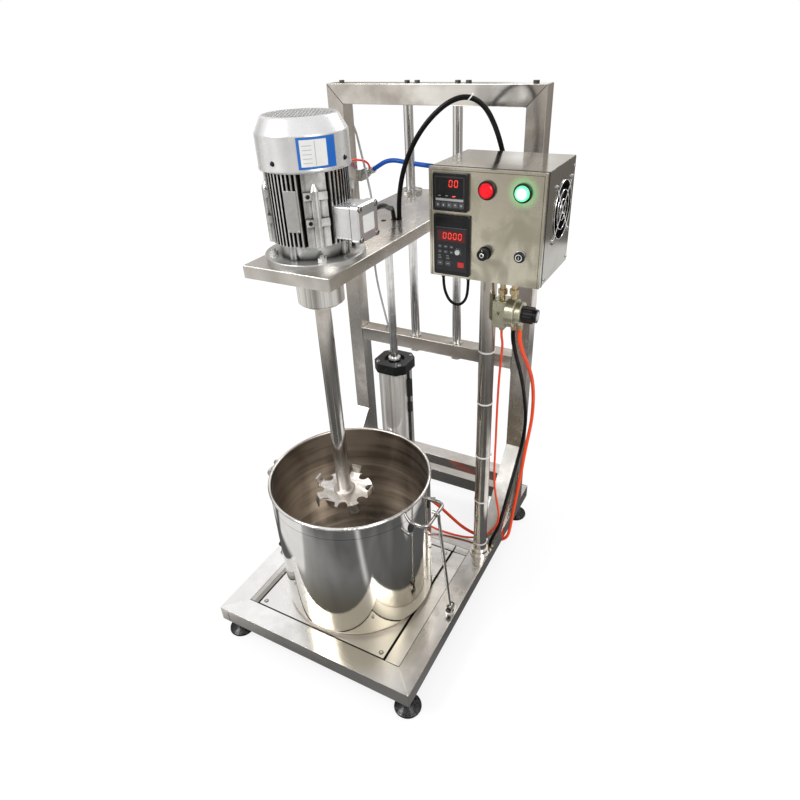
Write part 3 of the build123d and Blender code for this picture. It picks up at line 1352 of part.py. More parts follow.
nodes = {
    "base_side_rails": base_side_rails(),
    "base_cross_rails": base_cross_rails(),
    "tray_frame": tray_frame(),
    "pail_tray": pail_tray(),
    "levelling_feet": levelling_feet(),
    "uprights": uprights(),
    "top_crossbar": top_crossbar(),
    "middle_crossbars": middle_crossbars(),
    "braces": braces(),
    "guide_rods": guide_rods(),
    "frame_fasteners": frame_fasteners(),
    "control_pole": control_pole(),
    "cylinder_head": cylinder_head(),
    "cylinder_barrel": cylinder_barrel(),
    "cylinder_foot": cylinder_foot(),
    "piston_rod": piston_rod(),
    "lift_beam": lift_beam(),
    "guide_bushings": guide_bushings(),
    "motor_flange": motor_flange(),
    "flange_bolts": flange_bolts(),
    "motor_stator": motor_stator(),
    "fan_cover": fan_cover(),
    "junction_box": junction_box(),
    "motor_rotor": motor_rotor(),
    "motor_fan": motor_fan(),
    "bearing_housing": bearing_housing(),
    "mixer_shaft": mixer_shaft(),
    "dispersing_disc": dispersing_disc(),
    "disc_nut": disc_nut(),
    "pail": pail(),
    "pail_handles": pail_handles(),
    "clamp_brackets": clamp_brackets(),
    "clamp_rod_left": clamp_rod(-1),
    "clamp_rod_right": clamp_rod(1),
    "control_box": control_box(),
    "box_front": box_front(),
    "speed_meter": speed_meter(),
    "drive_panel": drive_panel(),
    "button_bezels": button_bezels(),
    "stop_button": push_button(stop_x),
    "start_button": push_button(start_x),
    "speed_knob": speed_knob(),
    "key_switch": key_switch(),
    "drive_knob": drive_knob(),
    "fan_housing": fan_housing(),
    "fan_rotor": fan_rotor(),
    "fan_guard": fan_guard(),
    "hand_valve": hand_valve(),
    "valve_fittings": valve_fittings(),
    "valve_knob": valve_knob(),
    "air_coupler": air_coupler(),
    "motor_lead": cord(motor_lead_route, motor_cable_radius),
    "lift_cable": cord(lift_cable_route, lift_cable_radius),
    "loop_cable": cord(loop_route, loop_cable_radius),
    "blue_hose": cord(blue_hose_route, blue_hose_radius),
    "red_tube": cord(red_tube_route, red_tube_radius),
    "rear_cable": cord(rear_cable_route, rear_cable_radius),
    "orange_hose": cord(orange_hose_route, air_hose_radius),
    "black_hose": cord(black_hose_route, air_hose_radius),
    "orange_tube": cord(orange_tube_route, air_tube_radius),
}

outline_left = base_width / 2 - foot_inset_x + foot_radius
outline_right = cabinet_right + guard_wire + 1.2
machine_x = (outline_left - outline_right) / 2
print("machine centre plane at x =", machine_x)

os.makedirs("parts", exist_ok=True)
for name, shape in nodes.items():
    solids = shape if isinstance(shape, list) else [shape]
    placed = [Pos(machine_x, 0, 0) * solid for piece in solids for solid in piece.solids()]
    whole = placed[0] if len(placed) == 1 else Compound(children=placed)
    export_step(whole, f"parts/{name}.step")
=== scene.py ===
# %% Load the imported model
import json
from math import atan2, ceil, cos, hypot, pi, radians, sin
import bmesh
import bpy
from mathutils import Matrix, Vector

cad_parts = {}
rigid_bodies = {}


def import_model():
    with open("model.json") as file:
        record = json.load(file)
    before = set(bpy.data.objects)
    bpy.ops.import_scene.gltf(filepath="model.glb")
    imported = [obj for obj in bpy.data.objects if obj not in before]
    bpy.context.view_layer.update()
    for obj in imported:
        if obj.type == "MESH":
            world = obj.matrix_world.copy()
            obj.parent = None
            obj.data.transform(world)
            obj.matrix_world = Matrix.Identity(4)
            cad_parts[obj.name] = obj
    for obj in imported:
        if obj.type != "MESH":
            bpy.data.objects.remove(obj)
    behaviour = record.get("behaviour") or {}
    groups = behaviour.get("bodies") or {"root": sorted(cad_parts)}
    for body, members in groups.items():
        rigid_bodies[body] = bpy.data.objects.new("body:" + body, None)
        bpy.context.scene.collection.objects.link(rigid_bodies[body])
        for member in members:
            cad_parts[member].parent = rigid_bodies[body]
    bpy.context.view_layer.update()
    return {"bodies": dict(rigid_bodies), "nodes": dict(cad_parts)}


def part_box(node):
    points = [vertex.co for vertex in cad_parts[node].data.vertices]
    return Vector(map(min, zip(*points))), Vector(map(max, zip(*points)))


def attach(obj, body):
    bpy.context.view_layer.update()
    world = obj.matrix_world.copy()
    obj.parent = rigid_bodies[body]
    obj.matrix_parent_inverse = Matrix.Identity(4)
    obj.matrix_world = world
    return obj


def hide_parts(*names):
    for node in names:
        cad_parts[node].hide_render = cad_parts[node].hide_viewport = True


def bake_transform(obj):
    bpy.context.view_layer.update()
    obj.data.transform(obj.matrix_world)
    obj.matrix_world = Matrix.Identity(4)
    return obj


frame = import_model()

print("bodies:", ", ".join(sorted(frame["bodies"])))
print("nodes:", len(frame["nodes"]))

# %% [markdown]
# The machine is a high-speed disperser: a motor on a lifting beam turns a toothed disc in a steel pail.
# Every piece here is in metres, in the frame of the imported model, so nothing has to be fitted by eye. The
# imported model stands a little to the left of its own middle, because the control box sticks out to the
# right. One number keeps that shift, and one helper turns a place on the machine into a place in the scene.
# The others find a node's box and its middle, and give directions round an upright axis.

# %% Places on the machine
middle_x = -0.0562


def spot(x, y, z):
    """A place on the machine, measured from its middle plane, in metres."""
    return Vector((x + middle_x, y, z))


def corners(node):
    """Lowest and highest corner of a node as two vectors."""
    low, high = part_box(node)
    return Vector(low), Vector(high)


def middle_of(node):
    """Middle of a node's box."""
    low, high = corners(node)
    return (low + high) / 2


def circle(steps):
    """Cosine and sine of evenly spaced directions."""
    return [(cos(2 * pi * k / steps), sin(2 * pi * k / steps)) for k in range(steps)]


def heading(angle):
    """The level direction at an angle, and the one to its left."""
    return Vector((cos(angle), sin(angle), 0.0)), Vector((-sin(angle), cos(angle), 0.0))


motor_low, motor_high = corners("fan_cover")
motor_axis = middle_of("fan_cover")
print("motor axis at", [round(v, 4) for v in motor_axis[:2]])

# %% [markdown]
# The photograph looks down on the machine from its right-hand front corner with a fairly wide lens.
# A camera could be placed by eye, but then every piece would be judged against a slightly wrong view.
# This one was worked out from the corners of the base, the portal and the control box, so the picture
# can be laid over the photograph. The small shift stands for the way the photograph was cropped.

# %% Camera
camera_data = bpy.data.cameras.new("photo_camera")
camera_data.sensor_width = 36.0
camera_data.lens = 27.42
camera_data.shift_x = -0.01
camera_data.shift_y = 0.0136
camera_data.clip_end = 60.0
camera = bpy.data.objects.new("photo_camera", camera_data)
bpy.context.scene.collection.objects.link(camera)
yaw, pitch, roll = radians(29.5), radians(-32.5), radians(-2.6)
ahead = Vector((-sin(yaw) * cos(pitch), cos(yaw) * cos(pitch), sin(pitch)))
right = Vector((cos(yaw), sin(yaw), 0.0))
up = right.cross(ahead)
right, up = cos(roll) * right + sin(roll) * up, cos(roll) * up - sin(roll) * right
turn = Matrix((right, up, -ahead)).transposed()
camera.matrix_world = Matrix.Translation((0.6843, -1.1578, 1.4527)) @ turn.to_4x4()
bpy.context.scene.camera = camera
print("camera at", [round(v, 3) for v in camera.location])

# %% [markdown]
# Shader nodes are wired by hand in Blender's editor, but in a script a formula is easier to read than
# fifty links. The class below wraps one output socket, and Python's own signs then add the nodes:
# a plain number goes to a Math node, a vector to a Vector Math node, and a colour to a Mix node, because
# a Math node would turn a colour grey. The reflected forms make 1 - mask work as well.

# %% Sockets with maths signs
class Wire:
    """One output socket, with the maths signs of Python."""

    words = {"+": "ADD", "-": "SUBTRACT", "*": "MULTIPLY", "/": "DIVIDE", "**": "POWER"}

    def __init__(self, finish, socket):
        self.finish = finish
        self.socket = socket

    def join(self, left, sign, right):
        kinds = {side.socket.type for side in (left, right) if isinstance(side, Wire)}
        if "RGBA" in kinds:
            return self.finish.mix(1.0, left, right, self.words[sign])
        kind = "ShaderNodeVectorMath" if "VECTOR" in kinds else "ShaderNodeMath"
        return self.finish.node(kind, {"operation": self.words[sign]}, {0: left, 1: right})

    def __add__(self, other): return self.join(self, "+", other)
    def __radd__(self, other): return self.join(other, "+", self)
    def __sub__(self, other): return self.join(self, "-", other)
    def __rsub__(self, other): return self.join(other, "-", self)
    def __mul__(self, other): return self.join(self, "*", other)
    def __rmul__(self, other): return self.join(other, "*", self)
    def __truediv__(self, other): return self.join(self, "/", other)
    def __rtruediv__(self, other): return self.join(other, "/", self)
    def __pow__(self, other): return self.join(self, "**", other)


print("maths on sockets is ready")

# %% [markdown]
# A finish is one material with its node tree. It starts as a plain Principled shader, and one method adds
# any node: its settings first, such as the operation or the stops of a ramp, and then its inputs.
# The places come from Object coordinates. Every piece has its origin at the world's, so these are metres
# on the machine, a grain has the same size on every part, and it rides with the part when that moves.

# %% Finishes
class Finish:
    """A material and its node tree."""

    def __init__(self, name):
        self.material = bpy.data.materials.new(name)
        self.material.use_nodes = True
        self.tree = self.material.node_tree
        self.tree.nodes.clear()
        self.end = self.tree.nodes.new("ShaderNodeOutputMaterial")
        self.shader = self.tree.nodes.new("ShaderNodeBsdfPrincipled")
        self.tree.links.new(self.shader.outputs[0], self.end.inputs["Surface"])

    def feed(self, socket, value):
        """Puts a value or a wire into a socket."""
        if isinstance(value, Wire):
            self.tree.links.new(value.socket, socket)
        elif hasattr(socket.default_value, "__len__") and not hasattr(value, "__len__"):
            socket.default_value = [value] * len(socket.default_value)
        elif hasattr(socket.default_value, "__len__") and len(value) < len(socket.default_value):
            socket.default_value = (*value, 1.0)
        else:
            socket.default_value = value

    def node(self, kind, settings=None, inputs=None, out=0):
        """Adds a node: its settings first, then its inputs, and gives one output as a wire."""
        made = self.tree.nodes.new(kind)
        for name, value in (settings or {}).items():
            if name == "stops":
                ramp = made.color_ramp.elements
                while len(ramp) < len(value):
                    ramp.new(1.0)
                for stop, (place, tone) in zip(ramp, value):
                    stop.position = place
                    stop.color = (*tone, 1.0)
            else:
                setattr(made, name, value)
        for name, value in (inputs or {}).items():
            self.feed(made.inputs[name], value)
        return Wire(self, made.outputs[out])

    def maths(self, operation, *values):
        """Adds one Math node, such as ABSOLUTE or ARCTAN2."""
        return self.node("ShaderNodeMath", {"operation": operation}, dict(enumerate(values)))

    def mix(self, share, first, second, blend="MIX"):
        """Mixes two colours."""
        return self.node("ShaderNodeMix", {"data_type": "RGBA", "blend_type": blend, "clamp_factor": True},
                         {0: share, 6: first, 7: second}, out=2)

    def fade(self, value, low, high, first, last):
        """Mixes two colours by a value that runs from low to high."""
        return self.mix(self.span(value, low, high), first, last)

    def place(self, stretch=(1.0, 1.0, 1.0), move=(0.0, 0.0, 0.0)):
        """Where a point is on the machine, in metres, stretched for grain."""
        here = self.node("ShaderNodeTexCoord", out=3)
        return (here + move) * stretch

    def axes(self, where):
        """The three numbers of a place."""
        made = self.tree.nodes.new("ShaderNodeSeparateXYZ")
        self.feed(made.inputs[0], where)
        return [Wire(self, socket) for socket in made.outputs]

    def about(self, x, y, z=0.0):
        """The three numbers of a place, measured from a point or an upright axis."""
        return self.axes(self.place(move=(-x, -y, -z)))

    def noise(self, where, scale, detail=2.0, rough=0.5, warp=0.0):
        return self.node("ShaderNodeTexNoise", {"noise_dimensions": "3D"},
                         {"Vector": where, "Scale": scale, "Detail": detail, "Roughness": rough,
                          "Distortion": warp})

    def ramp(self, value, *stops):
        """A colour or a number that follows a value between stops."""
        return self.node("ShaderNodeValToRGB", {"stops": stops}, {0: value})

    def span(self, value, low, high, first=0.0, last=1.0):
        """Maps low to high onto first to last, smoothly, and holds there."""
        return self.node("ShaderNodeMapRange", {"interpolation_type": "SMOOTHSTEP"},
                         {0: value, 1: low, 2: high, 3: first, 4: last})

    def fall(self, value, low, high):
        """One up to low, and zero from high on."""
        return self.span(value, low, high, 1.0, 0.0)

    def band(self, value, low, in_low, in_high, high):
        """One between two soft edges and zero outside them."""
        return self.span(value, low, in_low) * self.fall(value, in_high, high)

    def bump(self, height, strength=0.2, distance=0.0005, after=None):
        inputs = {"Height": height, "Strength": strength, "Distance": distance}
        if after is not None:
            inputs["Normal"] = after
        return self.node("ShaderNodeBump", None, inputs)

    def set(self, **values):
        """Sets the shader's own sockets, with _ for a space in their names."""
        for name, value in values.items():
            self.feed(self.shader.inputs[name.replace("_", " ")], value)
        return self


def reach(one, other):
    """Distance from two of its parts."""
    return (one * one + other * other) ** 0.5


print("finishes are ready")

# %% [markdown]
# Cords come before the other pieces. Each is one smooth NURBS line whose control points are the route of
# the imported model, so it leaves its gland straight and then hangs by its own weight. The jackets differ:
# rubber with a dull skin on the motor lead, and glossy polyurethane on the air lines. A fine wave in the
# bump and a little dust in the colour keep them from looking like plain plastic rods.

# %% Cord finishes
def jacket(name, colour, dusty, rough, gloss=0.0, shine=0.3):
    """A cable or hose skin with a slight dusting and die lines."""
    f = Finish(name)
    here = f.place()
    dust_and_gap_shade = f.noise(here, 35.0, 4.0, 0.6)
    fine = f.noise(here, 420.0, 2.0)
    f.set(Base_Color=f.mix(f.span(dust_and_gap_shade, 0.5, 0.8, 0.0, 0.35), colour, dusty),
          Roughness=f.span(dust_and_gap_shade, 0.3, 0.75, rough, rough + 0.2),
          Coat_Weight=gloss, Coat_Roughness=0.15, Specular_IOR_Level=shine,
          Normal=f.bump(fine, 0.05, 0.0002))
    return f.material


black_jacket = jacket("black_cable_jacket", (0.005, 0.005, 0.005), (0.014, 0.014, 0.013), 0.26, 0.0, 0.14)
grey_jacket = jacket("grey_cable_jacket", (0.42, 0.42, 0.41), (0.55, 0.54, 0.5), 0.4)
blue_skin = jacket("blue_hose_skin", (0.002, 0.075, 0.4), (0.004, 0.11, 0.46), 0.24, 0.0, 0.22)
red_skin = jacket("red_tube_skin", (0.75, 0.045, 0.012), (0.7, 0.1, 0.05), 0.25, 0.5)
orange_skin = jacket("orange_hose_skin", (0.92, 0.072, 0.01), (0.8, 0.1, 0.03), 0.3, 0.1)
print("five cord finishes")

# %% Cord makers
def route_line(name, route, radius, finish):
    """One open NURBS line along a route, as thick as the cord."""
    data = bpy.data.curves.new(name, "CURVE")
    data.dimensions = "3D"
    data.resolution_u = 10
    data.bevel_depth = 1.0
    data.bevel_resolution = 5
    data.use_fill_caps = True
    line = data.splines.new("NURBS")
    line.points.add(len(route) - 1)
    for point, at in zip(line.points, route):
        point.co = (*at, 1.0)
        point.radius = radius
    line.order_u = 3
    line.use_endpoint_u = True
    piece = bpy.data.objects.new(name, data)
    bpy.context.scene.collection.objects.link(piece)
    data.materials.append(finish)
    return piece


def line_points(piece):
    """The points of a cord's smooth line, read from its curve without thickness."""
    thickness = piece.data.bevel_depth
    piece.data.bevel_depth = 0.0
    bare = bpy.data.meshes.new_from_object(piece)
    piece.data.bevel_depth = thickness
    points = [v.co.copy() for v in bare.vertices]
    bpy.data.meshes.remove(bare)
    return points


def cord(name, node, route, radius, finish, body="frame"):
    """A cord that stands for its solid and goes back into the object at its far end."""
    piece = route_line(name, route, radius, finish)
    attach(piece, body)
    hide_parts(node)
    points = line_points(piece)
    real = sum((b - a).length for a, b in zip(points, points[1:]))
    print(name, "measures", round(real, 3), "m")


print("cord makers are ready")

# %% Motor lead, box loop and signal cable
cord(
    "motor_lead_cable", "motor_lead",
    [(0.0448, -0.1466, 1.1495), (0.0448, -0.126, 1.1495), (0.0408, -0.096, 1.147), (0.0298, -0.058, 1.138),
     (0.0138, -0.016, 1.122), (-0.0082, 0.03, 1.108), (-0.0252, 0.064, 1.1), (-0.0322, 0.079, 1.09),
     (-0.0352, 0.088, 1.076), (-0.0357, 0.091, 1.056)],
    0.005, black_jacket, "carriage")
cord(
    "box_loop_cable", "loop_cable",
    [(0.1298, 0.008, 0.987), (0.1298, 0.008, 0.966), (0.1338, 0.008, 0.943), (0.1458, 0.008, 0.922),
     (0.1658, 0.008, 0.916), (0.1828, 0.008, 0.93), (0.1888, 0.008, 0.956), (0.1888, 0.008, 0.987)],
    0.0032, black_jacket)
cord(
    "signal_cable", "rear_cable",
    [(-0.3252, 0.3664, 1.228), (-0.3252, 0.379, 1.227), (-0.3242, 0.3895, 1.2205), (-0.3222, 0.395, 1.208),
     (-0.3182, 0.3965, 1.193), (-0.3082, 0.392, 1.16), (-0.2962, 0.386, 1.125), (-0.2852, 0.382, 1.085),
     (-0.2742, 0.38, 1.035), (-0.2702, 0.379, 0.97), (-0.2762, 0.379, 0.91), (-0.2792, 0.379, 0.85),
     (-0.2752, 0.379, 0.79), (-0.2642, 0.379, 0.73), (-0.2512, 0.379, 0.67), (-0.2362, 0.378, 0.61),
     (-0.2162, 0.372, 0.55), (-0.1902, 0.352, 0.492), (-0.1662, 0.32, 0.44), (-0.1462, 0.282, 0.392),
     (-0.1312, 0.244, 0.344), (-0.1242, 0.206, 0.298), (-0.1282, 0.172, 0.252), (-0.1402, 0.142, 0.206),
     (-0.1562, 0.116, 0.166), (-0.1592, 0.101, 0.149), (-0.1492, 0.0925, 0.138), (-0.1342, 0.091, 0.135),
     (-0.1152, 0.091, 0.135)],
    0.0032, grey_jacket)

# %% Air lines
cord(
    "blue_air_hose", "blue_hose",
    [(-0.2732, 0.404, 1.106), (-0.2542, 0.404, 1.1172), (-0.2342, 0.405, 1.128), (-0.2082, 0.407, 1.132),
     (-0.1742, 0.408, 1.128), (-0.1312, 0.409, 1.124), (-0.0762, 0.41, 1.121), (-0.0212, 0.41, 1.118),
     (0.0338, 0.408, 1.116), (0.0888, 0.398, 1.114), (0.1318, 0.37, 1.113), (0.1558, 0.325, 1.113),
     (0.1628, 0.27, 1.114), (0.1628, 0.215, 1.115), (0.1628, 0.168, 1.115)],
    0.0062, blue_skin)
cord(
    "red_air_tube", "red_tube",
    [(-0.3034, 0.334, 1.141), (-0.2922, 0.335, 1.141), (-0.2822, 0.341, 1.14), (-0.2762, 0.353, 1.137),
     (-0.2747, 0.368, 1.13), (-0.2762, 0.3824, 1.1195), (-0.281, 0.392, 1.1099)],
    0.003, red_skin)
cord(
    "orange_air_hose", "orange_hose",
    [(0.2938, 0.062, 0.858), (0.2938, 0.062, 0.838), (0.2938, 0.082, 0.802), (0.2908, 0.122, 0.758),
     (0.2868, 0.174, 0.706), (0.2838, 0.222, 0.65), (0.2798, 0.26, 0.59), (0.2768, 0.282, 0.53),
     (0.2738, 0.291, 0.468), (0.2678, 0.288, 0.408), (0.2628, 0.283, 0.35), (0.2588, 0.279, 0.29),
     (0.2558, 0.27, 0.232), (0.2528, 0.254, 0.176), (0.2513, 0.24, 0.128), (0.2508, 0.229, 0.09),
     (0.2478, 0.22, 0.062), (0.2318, 0.213, 0.045), (0.1938, 0.208, 0.038), (0.1478, 0.203, 0.042),
     (0.1018, 0.201, 0.056), (0.0598, 0.206, 0.078), (0.0218, 0.211, 0.099), (-0.0072, 0.213, 0.114),
     (-0.0282, 0.209, 0.125), (-0.0432, 0.199, 0.131), (-0.0532, 0.183, 0.134), (-0.0562, 0.164, 0.135),
     (-0.0562, 0.15, 0.135)],
    0.005, orange_skin)
cord(
    "black_air_hose", "black_hose",
    [(0.2768, 0.066, 0.8535), (0.2768, 0.066, 0.832), (0.2753, 0.088, 0.796), (0.2718, 0.124, 0.746),
     (0.2678, 0.167, 0.692), (0.2638, 0.208, 0.636), (0.2598, 0.244, 0.578), (0.2568, 0.276, 0.516),
     (0.2548, 0.297, 0.454), (0.2508, 0.299, 0.4), (0.2478, 0.282, 0.35), (0.2468, 0.244, 0.302),
     (0.2468, 0.202, 0.258), (0.2468, 0.164, 0.212), (0.2448, 0.132, 0.174), (0.2358, 0.111, 0.146),
     (0.2308, 0.106, 0.132), (0.2308, 0.106, 0.116)],
    0.005, black_jacket)
cord(
    "thin_orange_tube", "orange_tube",
    [(0.2498, 0.064, 0.85), (0.2498, 0.064, 0.834), (0.2478, 0.08, 0.81), (0.2418, 0.098, 0.78),
     (0.2358, 0.108, 0.736), (0.2328, 0.11, 0.68), (0.2323, 0.109, 0.62), (0.2328, 0.1075, 0.56),
     (0.2333, 0.107, 0.5), (0.2328, 0.1075, 0.44), (0.2328, 0.1095, 0.38), (0.2358, 0.114, 0.32),
     (0.2438, 0.121, 0.266), (0.2473, 0.126, 0.222), (0.2418, 0.128, 0.184), (0.2238, 0.124, 0.152),
     (0.1958, 0.116, 0.128), (0.1598, 0.107, 0.118), (0.1138, 0.101, 0.116), (0.0718, 0.097, 0.118),
     (0.0418, 0.093, 0.127), (0.0238, 0.091, 0.135), (0.0028, 0.091, 0.135)],
    0.003, orange_skin)

# %% [markdown]
# The thick black cable carries power from the box to the moving beam, so one end goes up and down with the
# beam while the other stays still. A curve can't bend between two bodies here, so this cord is a mesh tube.
# This cord is a mesh tube, which follows points read from its own NURBS line.

# %% Lift cable
def swept(points, radius, sides=20):
    """Points and faces of a round tube along a line, carried without twist."""
    ahead = [(b - a).normalized() for a, b in zip(points[:-1], points[1:])]
    ahead = [ahead[0]] + [(a + b).normalized() for a, b in zip(ahead, ahead[1:])] + [ahead[-1]]
    side = ahead[0].orthogonal().normalized()
    verts, faces = [], []
    for at, along in zip(points, ahead):
        side = (side - along * side.dot(along)).normalized()
        other = along.cross(side)
        verts += [at + radius * (u * side + w * other) for u, w in circle(sides)]
    for ring in range(len(points) - 1):
        for k in range(sides):
            a, b = ring * sides + k, ring * sides + (k + 1) % sides
            faces.append((a, b, b + sides, a + sides))
    faces.append(tuple(reversed(range(sides))))
    faces.append(tuple(range(len(verts) - sides, len(verts))))
    return verts, faces


def from_lists(name, verts, faces, finish, smooth=True):
    """A mesh object from points and faces."""
    mesh = bpy.data.meshes.new(name)
    mesh.from_pydata([tuple(v) for v in verts], [], faces)
    mesh.update()
    mesh.polygons.foreach_set("use_smooth", [smooth] * len(mesh.polygons))
    mesh.materials.append(finish)
    piece = bpy.data.objects.new(name, mesh)
    bpy.context.scene.collection.objects.link(piece)
    return piece


lift_route = [(-0.0277, 0.1005, 1.05), (-0.0277, 0.1005, 1.092), (-0.0212, 0.1, 1.14),
              (-0.0082, 0.103, 1.188), (0.0178, 0.108, 1.24), (0.0518, 0.118, 1.283),
              (0.0918, 0.131, 1.314), (0.1278, 0.146, 1.32), (0.1558, 0.162, 1.3), (0.1758, 0.176, 1.258),
              (0.1868, 0.195, 1.206), (0.1898, 0.2139, 1.158), (0.1908, 0.2241, 1.1255),
              (0.1898, 0.2205, 1.1038), (0.1878, 0.2076, 1.086), (0.1858, 0.188, 1.076),
              (0.1858, 0.168, 1.076)]
guide_line = route_line("lift_cable_line", lift_route, 0.0055, black_jacket)
lift_points = line_points(guide_line)
bpy.data.objects.remove(guide_line)
lift_cable = from_lists("lift_cable_arch", *swept(lift_points, 0.0055), black_jacket)
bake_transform(lift_cable)
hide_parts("lift_cable")
print("lift cable follows", len(lift_points), "points")

# %% [markdown]
# The machine stands in a plain pale studio. The world is white for the camera and for reflections, and a
# little softer for the light that falls on the pieces. The floor is nearly white too, but it keeps part of
# its own shading, so that the shadows under the base stay. Stainless steel needs something dark to reflect,
# or it looks like grey paint. In the photograph it mirrors a grey shop floor, warm walls and windows, so a
# disc and an upright band carry such a pattern, and only reflections see these two.

# %% World and floor
world = bpy.data.worlds.new("pale_studio")
world.use_nodes = True
bpy.context.scene.world = world
sky = world.node_tree
sky.nodes.clear()
paths = sky.nodes.new("ShaderNodeLightPath")
seen = paths.outputs["Is Camera Ray"]
for kind in ("Is Glossy Ray", "Is Transmission Ray"):
    either = sky.nodes.new("ShaderNodeMath")
    either.operation = "MAXIMUM"
    sky.links.new(seen, either.inputs[0])
    sky.links.new(paths.outputs[kind], either.inputs[1])
    seen = either.outputs[0]
choose = sky.nodes.new("ShaderNodeMixShader")
sky.links.new(seen, choose.inputs[0])
soft_strength, full_strength = 0.62, 1.0
for socket, strength in ((1, soft_strength), (2, full_strength)):
    light = sky.nodes.new("ShaderNodeBackground")
    light.inputs["Color"].default_value = (1.0, 1.0, 1.0, 1.0)
    light.inputs["Strength"].default_value = strength
    sky.links.new(light.outputs[0], choose.inputs[socket])
sky_end = sky.nodes.new("ShaderNodeOutputWorld")
sky.links.new(choose.outputs[0], sky_end.inputs["Surface"])


def floor_finish():
    """A white floor that keeps a part of its shadow near the machine."""
    f = Finish("pale_floor")
    f.set(Base_Color=(0.9, 0.9, 0.9), Roughness=0.9, Specular_IOR_Level=0.0)
    rays = f.tree.nodes.new("ShaderNodeLightPath")
    looked = Wire(f, rays.outputs["Is Camera Ray"]) + Wire(f, rays.outputs["Is Glossy Ray"])
    x, y, z = f.axes(f.place())
    own_light = f.span(reach(x, y), 0.7, 2.2, 0.74, 1.0)
    glow = f.tree.nodes.new("ShaderNodeEmission")
    glow.inputs["Color"].default_value = (1.0, 1.0, 1.0, 1.0)
    glow.inputs["Strength"].default_value = 1.06
    blend = f.tree.nodes.new("ShaderNodeMixShader")
    f.feed(blend.inputs[0], f.span(looked, 0.0, 1.0) * own_light)
    f.tree.links.new(f.shader.outputs[0], blend.inputs[1])
    f.tree.links.new(glow.outputs[0], blend.inputs[2])
    f.tree.links.new(blend.outputs[0], f.end.inputs["Surface"])
    return f.material


floor = from_lists("studio_floor", [(-9, -9, 0), (9, -9, 0), (9, 9, 0), (-9, 9, 0)], [(0, 1, 2, 3)],
                   floor_finish(), smooth=False)
floor.location.z = -0.0005
print("floor and world are in place")

# %% What the steel sees around it
def unseen(piece):
    """A studio piece that only reflections see."""
    piece.visible_camera = False
    piece.visible_diffuse = False
    piece.visible_shadow = False
    piece.visible_transmission = False


def sector(f, angle, middle, half, soft=6.0):
    """One inside a wedge of directions round the machine, given in degrees, and zero outside it."""
    away = f.maths("ABSOLUTE", angle - radians(middle))
    return f.fall(away, radians(half - soft / 2), radians(half + soft / 2))


def reflected(f, share, *stops):
    """Makes a finish that only glows, in tones between the given stops."""
    f.set(Base_Color=(0.0, 0.0, 0.0), Roughness=1.0, Specular_IOR_Level=0.0,
          Emission_Color=f.ramp(share, *stops), Emission_Strength=1.0)
    return f.material


def surroundings(name, dark, pale, wedges, near, far, cloud=0.35):
    """A glowing finish: dark, with pale wedges, and pale beyond a distance."""
    f = Finish(name)
    here = f.place()
    x, y, z = f.axes(here)
    angle = f.maths("ARCTAN2", y, x)
    away = reach(x, y)
    blots = f.noise(here, 1.3, 3.0, 0.6, 0.5)
    share = f.span(away, near, far)
    for middle, half, first, last, strength in wedges:
        on = f.band(away, first, first + 0.06, last, last + 0.12)
        share = share + sector(f, angle, middle, half) * on * strength
    in_front = f.band(y, -0.9, -0.74, -0.5, -0.42)
    share = share + in_front * f.span(x, -0.42, 0.1, 0.42, 0.0)
    share = share + f.span(blots, 0.3, 0.7, -cloud / 2, cloud / 2) * 0.6
    return reflected(f, share, (0.0, dark), (1.0, pale))


def floor_disc(name, radius, finish, steps=64):
    """A flat disc just under the feet."""
    rim = [(radius * u, radius * w, 0.0) for u, w in circle(steps)]
    piece = from_lists(name, rim, [tuple(range(steps))], finish, smooth=False)
    piece.location.z = -0.0003
    unseen(piece)


def wall_band(name, radius, low, high, finish, steps=72):
    """An upright band all round the machine."""
    verts, faces = [], []
    for k, (u, w) in enumerate(circle(steps)):
        verts += [(radius * u, radius * w, low), (radius * u, radius * w, high)]
        faces.append((2 * k, (2 * k + 2) % (2 * steps), (2 * k + 3) % (2 * steps), 2 * k + 1))
    unseen(from_lists(name, verts, faces, finish))


def wall_finish(name):
    """Warm grey walls with bright windows and dark piers, and brighter towards the top."""
    f = Finish(name)
    here = f.place()
    x, y, z = f.axes(here)
    angle = f.maths("ARCTAN2", y, x)
    blots = f.noise(f.place((1.0, 1.0, 0.22)), 0.9, 3.0, 0.6, 0.6)
    share = f.span(z, 0.0, 2.6, 0.46, 0.66) + f.span(blots, 0.3, 0.7, -0.22, 0.22)
    for middle, half, strength in ((-123.0, 11.0, 0.36), (-152.0, 10.0, 0.35), (-60.0, 7.0, -0.42),
                                   (-92.0, 5.0, -0.35), (-25.0, 9.0, 0.4), (12.0, 8.0, -0.35),
                                   (76.0, 12.0, -0.44), (100.0, 5.0, 0.3), (150.0, 9.0, 0.35),
                                   (178.0, 6.0, -0.4), (128.0, 5.0, -0.12)):
        share = share + sector(f, angle, middle, half, 4.0) * strength
    return reflected(f, share, (0.0, (0.055, 0.049, 0.043)), (0.5, (0.42, 0.385, 0.345)),
                     (1.0, (1.0, 0.99, 0.97)))


dark_floor = surroundings("floor_reflection", (0.115, 0.115, 0.115), (0.93, 0.92, 0.9),
                          [(20.0, 28.0, 0.5, 0.95, 1.0), (-140.0, 18.0, 0.6, 0.92, 1.0),
                           (-63.0, 1.4, 0.55, 1.5, 0.8), (120.0, 15.0, 0.62, 1.1, 0.9),
                           (-175.0, 9.0, 0.6, 1.2, 0.6), (70.0, 4.0, 0.9, 1.6, 0.5)], 1.75, 2.3)
room_radius, room_height = 3.6, 2.7
floor_disc("floor_reflection", room_radius, dark_floor)
wall_band("wall_reflection", room_radius, 0.0, room_height, wall_finish("wall_reflection"))


